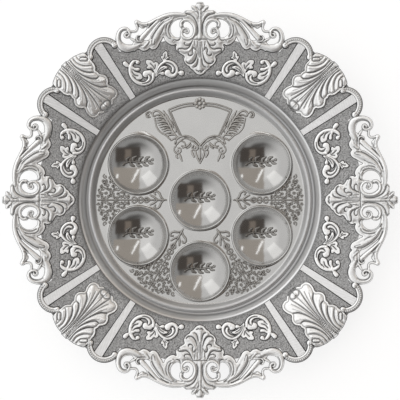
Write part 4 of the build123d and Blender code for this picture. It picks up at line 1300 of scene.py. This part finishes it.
# %% Strokes of the frame
FRAME_LINES = [
    [(6, 97.6, 0.6), (14, 96.9, 0.6), (22, 94.9, 0.6), (31, 91.4, 0.6)],
    [(5, 95.2, 0.5), (13, 94.5, 0.5), (21, 92.5, 0.5), (29, 89.5, 0.5)],
    [(31.8, 90.4, 0.6), (27.4, 80, 0.6), (21, 66, 0.6)],
    [(29.6, 88.6, 0.5), (25, 78, 0.5), (19.4, 66, 0.5)],
    [(25.4, 57, 0.6), (22.6, 62, 0.6), (15.4, 64.6, 0.7), (8.4, 62.8, 0.7), (3.4, 58.8, 0.7),
     (0.2, 55, 0.6)],
    [(22.8, 56.6, 0.5), (19.4, 60.4, 0.5), (14.4, 62.2, 0.5), (9, 60.2, 0.5), (4.4, 56.8, 0.5),
     (1.9, 53.2, 0.5), (3.4, 50.4, 0.5), (6.4, 50.3, 0.5), (8, 52.9, 0.5), (6.6, 55.1, 0.5)],
    [(24.6, 53.6, 0.4), (22.8, 57.4, 0.5), (18.8, 59.4, 0.5), (15.2, 57.2, 0.5), (15.6, 54.2, 0.5),
     (18.4, 54.4, 0.5)],
    [(17.4, 52.4, 0.4), (12.8, 54.6, 0.8), (9.6, 57.8, 0.5)],
    [(13.4, 52, 0.4), (10.8, 53.8, 0.7), (9.2, 55.8, 0.4)],
    [(25.6, 53.4, 0.4), (25.8, 49.4, 0.5), (22.8, 46.9, 0.5), (19.6, 48.5, 0.5), (19.6, 51.7, 0.5),
     (22, 52.5, 0.4)],
    [(21, 46.4, 0.5), (19.8, 43.8, 1.0), (18.2, 39.4, 0.4)],
    [(23.2, 46.2, 0.5), (23.8, 44, 0.8), (22.4, 42.2, 0.4)],
    [(8.4, 49.4, 0.5), (7.4, 46.4, 1.0), (6, 43.4, 0.5)],
    [(4.6, 49.2, 0.5), (3.6, 45, 0.9), (1.8, 40.6, 0.6), (0, 37, 0.4)],
    [(0, 52, 0.6), (0, 46, 1.0), (0, 41, 0.5)],
    [(5, 53, 1.1), (5.1, 52.9, 1.1)],
    [(22.4, 49.8, 0.9), (22.5, 49.7, 0.9)],
]
print("frame strokes:", len(FRAME_LINES))

# %% Strokes of a wing
WING_LINES = [
    [(21.6, 62, 0.5), (26, 67, 0.7), (30, 74, 0.8), (34, 81, 0.8), (38.5, 87, 0.8), (43.4, 90, 0.8),
     (47.4, 88.2, 0.7), (47.4, 85, 0.6), (45.2, 84.6, 0.5)],
    [(48.6, 87.4, 0.5), (51.4, 88.8, 0.5), (54.4, 86.8, 0.5), (53.4, 83.6, 0.5), (50.6, 83.6, 0.5)],
    [(52, 86, 0.9), (52.1, 85.9, 0.9)],
    [(28, 70, 0.4), (32.6, 70.8, 0.9), (36.8, 69, 0.5)],
    [(30, 74, 0.4), (35.2, 75, 1.0), (40, 73.2, 0.5)],
    [(32.4, 78, 0.4), (37.4, 79.4, 1.0), (42.4, 77.8, 0.5)],
    [(35.2, 82.4, 0.4), (39.6, 83.8, 0.9), (43.6, 82.4, 0.5)],
    [(25.4, 65.6, 0.4), (29.4, 65.8, 0.8), (33, 64.6, 0.4)],
    [(23.2, 62.4, 0.4), (26.8, 61.6, 0.7), (29.2, 60, 0.4)],
    [(27.8, 72, 0.4), (27.8, 75.6, 0.6), (29.4, 79.4, 0.4)],
    [(30.8, 77, 0.4), (31.4, 81.2, 0.7), (33, 85.4, 0.4)],
    [(34.2, 82, 0.4), (34.8, 86.4, 0.7), (36.8, 89.8, 0.4)],
    [(30.4, 61.4, 0.5), (34.6, 65.2, 0.5), (39.6, 68.2, 0.5), (43.4, 73, 0.5), (44.8, 78, 0.5),
     (45.8, 82.2, 0.5)],
    [(29.4, 68, 0.4), (32.4, 67.6, 0.6), (35, 66.8, 0.4)],
    [(31, 72.2, 0.4), (34.6, 72.6, 0.6), (38.2, 71, 0.4)],
    [(33, 76.2, 0.4), (37, 76.9, 0.6), (41.2, 75.4, 0.4)],
    [(35.4, 80.4, 0.4), (39, 81.4, 0.6), (43.2, 80, 0.4)],
    [(38, 85, 0.4), (41.4, 86, 0.6), (44.6, 85.4, 0.4)],
    [(24.4, 68.6, 0.4), (24.6, 71.4, 0.6), (26, 74, 0.4)],
    [(29.2, 74.6, 0.4), (29.6, 78.4, 0.6), (31.2, 82, 0.4)],
    [(32.6, 79.6, 0.4), (33.2, 83.8, 0.6), (35, 87.4, 0.4)],
]
print("wing strokes:", len(WING_LINES))

# %% Stamp the frame and its wings
STAMP_PLATE = 0.14
STAMP_RISE = 0.34
STAMP_SINK = 0.3
STAMP_STEP = 0.3
STAMPED = {"skirt": 0.35, "lining": -0.9, "gain": 3.4}
PLAQUE_BOX = (-58, 34), (58, 106)
PLAQUE_TONE = 0.32
PLAQUE_BORDER = 0.4
ROSETTE_V = 97.4
ROSETTE_R = 4.3
ROSETTE_PETALS = 8


def floor_seat(u, v):
    """The flat floor of the tray."""
    return np.full(u.shape, TRAY_FLOOR_Z)


def floor_under(u, v):
    """The stamping is closed inside the sheet."""
    return floor_seat(u, v) - STAMP_SINK


plaque = Relief(*PLAQUE_BOX, STAMP_STEP, STAMP_PLATE, PLAQUE_TONE, mirrored=True, **STAMPED)
for path in FRAME_LINES + WING_LINES:
    plaque.stroke(STAMP_RISE, PLAQUE_BORDER, path)
for petal in range(ROSETTE_PETALS // 2 + 1):
    spot = around(ROSETTE_R, 2 * math.pi * petal / ROSETTE_PETALS)
    plaque.ball(STAMP_RISE, 0.5, spot + (0.0, ROSETTE_V), 1.5)
plaque.ball(0.5, 0.3, (0.0, ROSETTE_V), 1.8)
STAMPING = engraving_finish, "tray", "polished_silver"
plaque_carving = Carving(plaque, floor_seat, floor_under, *STAMPING)
plaque_carving.cast("plaque")
print("plaque:", len(plaque_carving.faces), "faces")

# %% Strokes and curls of a scrollwork fan
FAN_LINES = [
    [(0, 34, 0.4), (0, 39, 0.9), (0, 46, 0.5), (0, 54, 0.5), (0, 66, 0.5), (0, 80, 0.5), (0, 92, 0.6),
     (0, 103, 0.5)],
    [(0.6, 37, 0.4), (3.6, 39.6, 0.8), (6.6, 40.8, 0.8), (8.6, 43.6, 0.6), (7.4, 46, 0.5),
     (5.4, 45, 0.5)],
    [(0.6, 43, 0.4), (3, 46.4, 0.8), (4.8, 50, 0.5)],
    [(0.8, 51, 0.4), (2.4, 54, 0.6), (1.2, 56.4, 0.4)],
    [(0.8, 57, 0.4), (2.7, 59.2, 0.5), (2.5, 61.6, 0.4), (1, 61.8, 0.4)],
    [(0.8, 63.4, 0.4), (2.7, 65.6, 0.5), (2.5, 68, 0.4), (1, 68.2, 0.4)],
]
SCROLL_ROWS = [
    (72, 1), (75.8, 2), (79.6, 2), (83.4, 3), (87.2, 4), (91, 5), (94.8, 6), (98.6, 6), (102, 6),
]
SCROLL_PITCH = 4.0
SCROLL_TURN = 137.5


def spiral(centre, size, start, turns, half_width):
    """Scroll: the radius shrinks evenly from the size to a fifth of it while the angle turns."""
    share = np.linspace(0.0, 1.0, 4 + int(8 * abs(turns)))
    angle = np.radians(start) + 2 * math.pi * turns * share
    radius = size * (1 - 0.8 * share)
    plan = [centre[0] + radius * np.cos(angle), centre[1] + radius * np.sin(angle)]
    return np.stack(plan + [np.full(len(share), half_width)], -1)


def curl(row, place, outward):
    """One curl of a row: strayed a little from an even pitch, and turned by the golden angle."""
    stray = 0.7 * np.array([math.sin(5.1 * place + 1.7 * row), math.cos(3.7 * place + 2.3 * row)])
    middle = stray + (3.0 + SCROLL_PITCH * place, outward - 0.28 * place ** 2)
    size = 1.9 + 0.5 * math.sin(2.1 * place + 1.3 * row)
    bend = 0.95 if (row + place) % 2 else -0.95
    return spiral(middle, size, SCROLL_TURN * (place + 3 * row), bend, 0.34)


print("fan:", len(FAN_LINES), "strokes and", sum(count for _, count in SCROLL_ROWS), "curls a side")

# %% Stamp the four fans
FAN_BOX = (-29, 32), (29, 105)
FAN_TONE = 0.42
FAN_BORDER = 0.45
CURL_BORDER = 0.35
FAN_ANGLES = [90.0, 150.0, 210.0, 270.0]

scrollwork = Relief(*FAN_BOX, STAMP_STEP, STAMP_PLATE, FAN_TONE, mirrored=True, **STAMPED)
for path in FAN_LINES:
    scrollwork.stroke(STAMP_RISE, FAN_BORDER, path)
for row, (outward, count) in enumerate(SCROLL_ROWS):
    for place in range(count):
        scrollwork.stroke(STAMP_RISE, CURL_BORDER, curl(row, place, outward))
scrollwork_carving = Carving(scrollwork, floor_seat, floor_under, *STAMPING)
for number, angle in enumerate(FAN_ANGLES):
    scrollwork_carving.cast("scrollwork_%d" % (number + 1), (), angle)
print("scrollwork:", len(scrollwork_carving.faces), "faces")

# %% Strokes of a sprig
SPRIG_LINES = [
    [(-14.5, -1.8, 0.5), (-8, 0.6, 0.7), (0, -0.6, 0.7), (7, 0.6, 0.7), (13.6, 1.8, 0.5)],
    [(-11.4, -0.6, 0.5), (-11.6, 2.4, 1.3), (-9.2, 4.8, 0.5)],
    [(-8.6, 0.4, 0.5), (-7.2, -2.6, 1.3), (-4.2, -4.2, 0.5)],
    [(-5.6, 0.4, 0.5), (-5.2, 3.6, 1.4), (-2.2, 5.6, 0.5)],
    [(-2, -0.4, 0.5), (-0.2, -3.4, 1.3), (3, -4.6, 0.5)],
    [(0.6, -0.6, 0.5), (1.4, 2.8, 1.4), (4.4, 5.0, 0.5)],
    [(4.4, 0.2, 0.5), (6.2, -2.6, 1.3), (9.4, -3.8, 0.5)],
    [(7, 0.6, 0.5), (8, 3.6, 1.3), (11, 5.2, 0.5)],
    [(9.8, 1, 0.5), (11.6, -1, 1.1), (14.4, -1.6, 0.5)],
    [(14.2, 2.2, 1.1), (14.3, 2.3, 1.1)],
    [(-15, -2.6, 1.0), (-15.1, -2.7, 1.0)],
]
print("sprig strokes:", len(SPRIG_LINES))

# %% Set the sprigs in the wells
SPRIG_UP = 2.5
SPRIG_BOX = (-18, -6), (18, 12)
SPRIG_STEP = 0.25
SPRIG_TONE = 0.6


def bowl_seat(u, v):
    """The sphere of a bowl."""
    return TRAY_FLOOR_Z - WELL_DEPTH + WELL_SPHERE_R - np.sqrt(WELL_SPHERE_R ** 2 - u ** 2 - v ** 2)


def bowl_under(u, v):
    """The sprig is closed inside the sheet."""
    return bowl_seat(u, v) - STAMP_SINK


leaf_sprig = Relief(*SPRIG_BOX, SPRIG_STEP, STAMP_PLATE, SPRIG_TONE, **STAMPED)
for path in SPRIG_LINES:
    leaf_sprig.stroke(STAMP_RISE, 0.5, moved_out(path, SPRIG_UP))
sprig_carving = Carving(leaf_sprig, bowl_seat, bowl_under, *STAMPING)
sprig_places = [(0.0, 0.0)] + [around(WELL_PITCH, 2 * HALF_PLACE * place) for place in range(1, 6)]
for number, spot in enumerate(sprig_places):
    sprig_carving.cast("sprig_%d" % (number + 1), at=spot)
print("sprig:", len(sprig_carving.faces), "faces")

# %% [markdown]
# ## The foot
# The foot ring is plain and hidden from above, so its CAD node stays and only gets the satin finish.

# %% Finish the foot
FOOT_TONES = grey(0.48), grey(0.68)

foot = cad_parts["foot_ring"]
foot_finish, foot_start, foot_shader = new_finish("satin_silver", 1.0, 0.35, (0.6, 0.6, 0.59))
foot_wear = noise(object_place(foot_start), 90.0, 4.0)
foot_wear.colour(*FOOT_TONES).link(foot_shader, "Base Color")
(foot_wear * 0.2 + 0.28).link(foot_shader, "Roughness")
foot.data.materials.clear()
foot.data.materials.append(foot_finish)
print("foot:", len(foot.data.polygons), "faces")

# %% [markdown]
# ## Studio
# The photograph looks straight down on white. The camera hangs two metres over the rim, with a lens that
# makes the frame 400 mm wide there. A pale dome and one large soft lamp from the upper left light the
# plate; the dome is darker to the lower right, which a mirror needs to show its shape.

# %% Camera
FRAME_WIDTH = 0.4
CAMERA_HEIGHT = 2.0
RIM_PLANE = 0.036
SENSOR = 36.0

camera_data = bpy.data.cameras.new("camera")
camera_data.sensor_width = SENSOR
camera_data.lens = SENSOR * CAMERA_HEIGHT / FRAME_WIDTH
camera = bpy.data.objects.new("camera", camera_data)
camera.location = (0.0, 0.0, CAMERA_HEIGHT + RIM_PLANE)
bpy.context.scene.collection.objects.link(camera)
bpy.context.scene.camera = camera
bpy.context.scene.view_settings.view_transform = "Standard"
print("camera lens", camera_data.lens)


# %% Lamp
def soft_lamp(name, place, width, height, energy):
    """A softbox that faces the middle of the plate."""
    data = bpy.data.lights.new(name, "AREA")
    data.shape = "RECTANGLE"
    data.size = width
    data.size_y = height
    data.energy = energy
    lamp = bpy.data.objects.new(name, data)
    lamp.location = place
    lamp.rotation_mode = "QUATERNION"
    lamp.rotation_quaternion = Vector(place).to_track_quat("Z", "Y")
    bpy.context.scene.collection.objects.link(lamp)
    return lamp


KEY_PLACE = (-1.1, 1.34, 1.0)
KEY_SIZE = 1.1, 1.7
KEY_ENERGY = 2.6
key_lamp = soft_lamp("key", KEY_PLACE, *KEY_SIZE, KEY_ENERGY)
print("key lamp:", round(key_lamp.data.energy, 2), "W")

# %% Directions of the dome
TENT_SWAY = 0.08
TENT_FOLDS = 3.5


def flat_dome(start):
    """A direction's place on the flattened dome: its plan part over the root of 2 + 2z, swayed by noise.

    The zenith is at 0 and the horizon 0.71 away.
    """
    way = start.node("ShaderNodeTexCoord", None, None, "Generated")
    east = way.node("ShaderNodeSeparateXYZ", None, {0: way}, "X")
    shrink = (east.beside("Z") * 2.0 + 2.0).math("MAXIMUM", 0.01).math("SQRT")
    ripple = noise(way, TENT_FOLDS, 3.0, "Color")
    sway = ripple.node("ShaderNodeSeparateColor", None, {0: ripple}, "Red")
    across = east / shrink + (sway - 0.5) * TENT_SWAY
    along = east.beside("Y") / shrink + (sway.beside("Green") - 0.5) * TENT_SWAY
    return across, along


def panel(across, along, low, high, soft, skew):
    """1 inside a box of the flattened dome, fading over its soft edge; skew slants its sides."""
    side = across - along * skew
    sides = side.step(low[0] - soft, low[0]) * (1.0 - side.step(high[0], high[0] + soft))
    return sides * along.step(low[1] - soft, low[1]) * (1.0 - along.step(high[1], high[1] + soft))


print("horizon at", round(math.sqrt(0.5), 2))

# %% Colours of the dome: panels are low and high corner, soft edge, skew, colour
GLARE_TONES = grey(1.28), grey(0.98)
SHADE_TONES = (0.14, 0.135, 0.13, 1.0), grey(0.5)
TENT_PANELS = [
    ((-0.03, 0.1), (0.62, 0.75), 0.03, 0.0, (0.58, 0.53, 0.48, 1.0)),
    ((-0.05, -0.42), (0.56, -0.08), 0.05, 0.0, (0.12, 0.105, 0.095, 1.0)),
    ((0.2, -0.36), (0.3, -0.12), 0.05, 0.0, (0.34, 0.29, 0.25, 1.0)),
    ((-0.085, 0.14), (-0.05, 0.46), 0.012, 0.46, grey(1.9)),
    ((0.44, 0.27), (0.47, 0.36), 0.015, 0.2, grey(1.9)),
]


def studio_dome():
    """World light: white to the camera; else a tent, pale upper left and dark lower right, with panels."""
    world = bpy.data.worlds.new("studio")
    world.use_nodes = True
    bpy.context.scene.world = world
    start = Signal(world.node_tree)
    across, along = flat_dome(start)
    lean = (across - along) * math.sqrt(0.5)
    away = (across * across + along * along).math("SQRT")
    glare = away.step(0.3, 0.5).colour(*GLARE_TONES)
    shade = away.step(0.5, 0.6).colour(*SHADE_TONES)
    sky = lean.step(-0.12, 0.42).colour(glare, shade)
    for *shape, colour in TENT_PANELS:
        sky = panel(across, along, *shape).colour(sky, colour)
    seen = start.node("ShaderNodeLightPath", None, None, "Is Camera Ray")
    background = world.node_tree.nodes["Background"]
    seen.colour(sky, grey(1.0)).link(background, "Color")
    background.inputs["Strength"].default_value = 1.0


studio_dome()
print("dome panels:", len(TENT_PANELS))

# %% Floor
FLOOR_HALF = 4.0
FLOOR_GLOW = 1.25
FLOOR_WHITE = 0.6


def pale_floor():
    """A wide pale floor: part glow to the camera and to metal, so it is white round the soft shadow.

    Seen from below it is clear, so the under side of the plate can be looked at.
    """
    mesh = bpy.data.meshes.new("floor")
    corners = [(-1, -1), (1, -1), (1, 1), (-1, 1)]
    mesh.from_pydata([(x * FLOOR_HALF, y * FLOOR_HALF, 0) for x, y in corners], [], [(0, 1, 2, 3)])
    material, start, shader = new_finish("pale_floor", 0.0, 0.9, (0.9, 0.9, 0.9))
    surface = Signal(start.tree, shader.outputs["BSDF"])
    glow = start.node("ShaderNodeEmission", None, {"Color": grey(1.0), "Strength": FLOOR_GLOW})
    ray = start.node("ShaderNodeLightPath", None, None, "Is Camera Ray")
    seen = ray.math("MAXIMUM", ray.beside("Is Glossy Ray")) * FLOOR_WHITE
    lit = start.node("ShaderNodeMixShader", None, {0: seen, 1: surface, 2: glow})
    below = start.node("ShaderNodeNewGeometry", None, None, "Backfacing")
    clear = start.node("ShaderNodeBsdfTransparent")
    sided = start.node("ShaderNodeMixShader", None, {0: below, 1: lit, 2: clear})
    sided.link(start.tree.nodes["Material Output"], "Surface")
    mesh.materials.append(material)
    floor = bpy.data.objects.new("floor", mesh)
    bpy.context.scene.collection.objects.link(floor)
    return floor


floor = pale_floor()
print("floor:", 2 * FLOOR_HALF, "m wide")
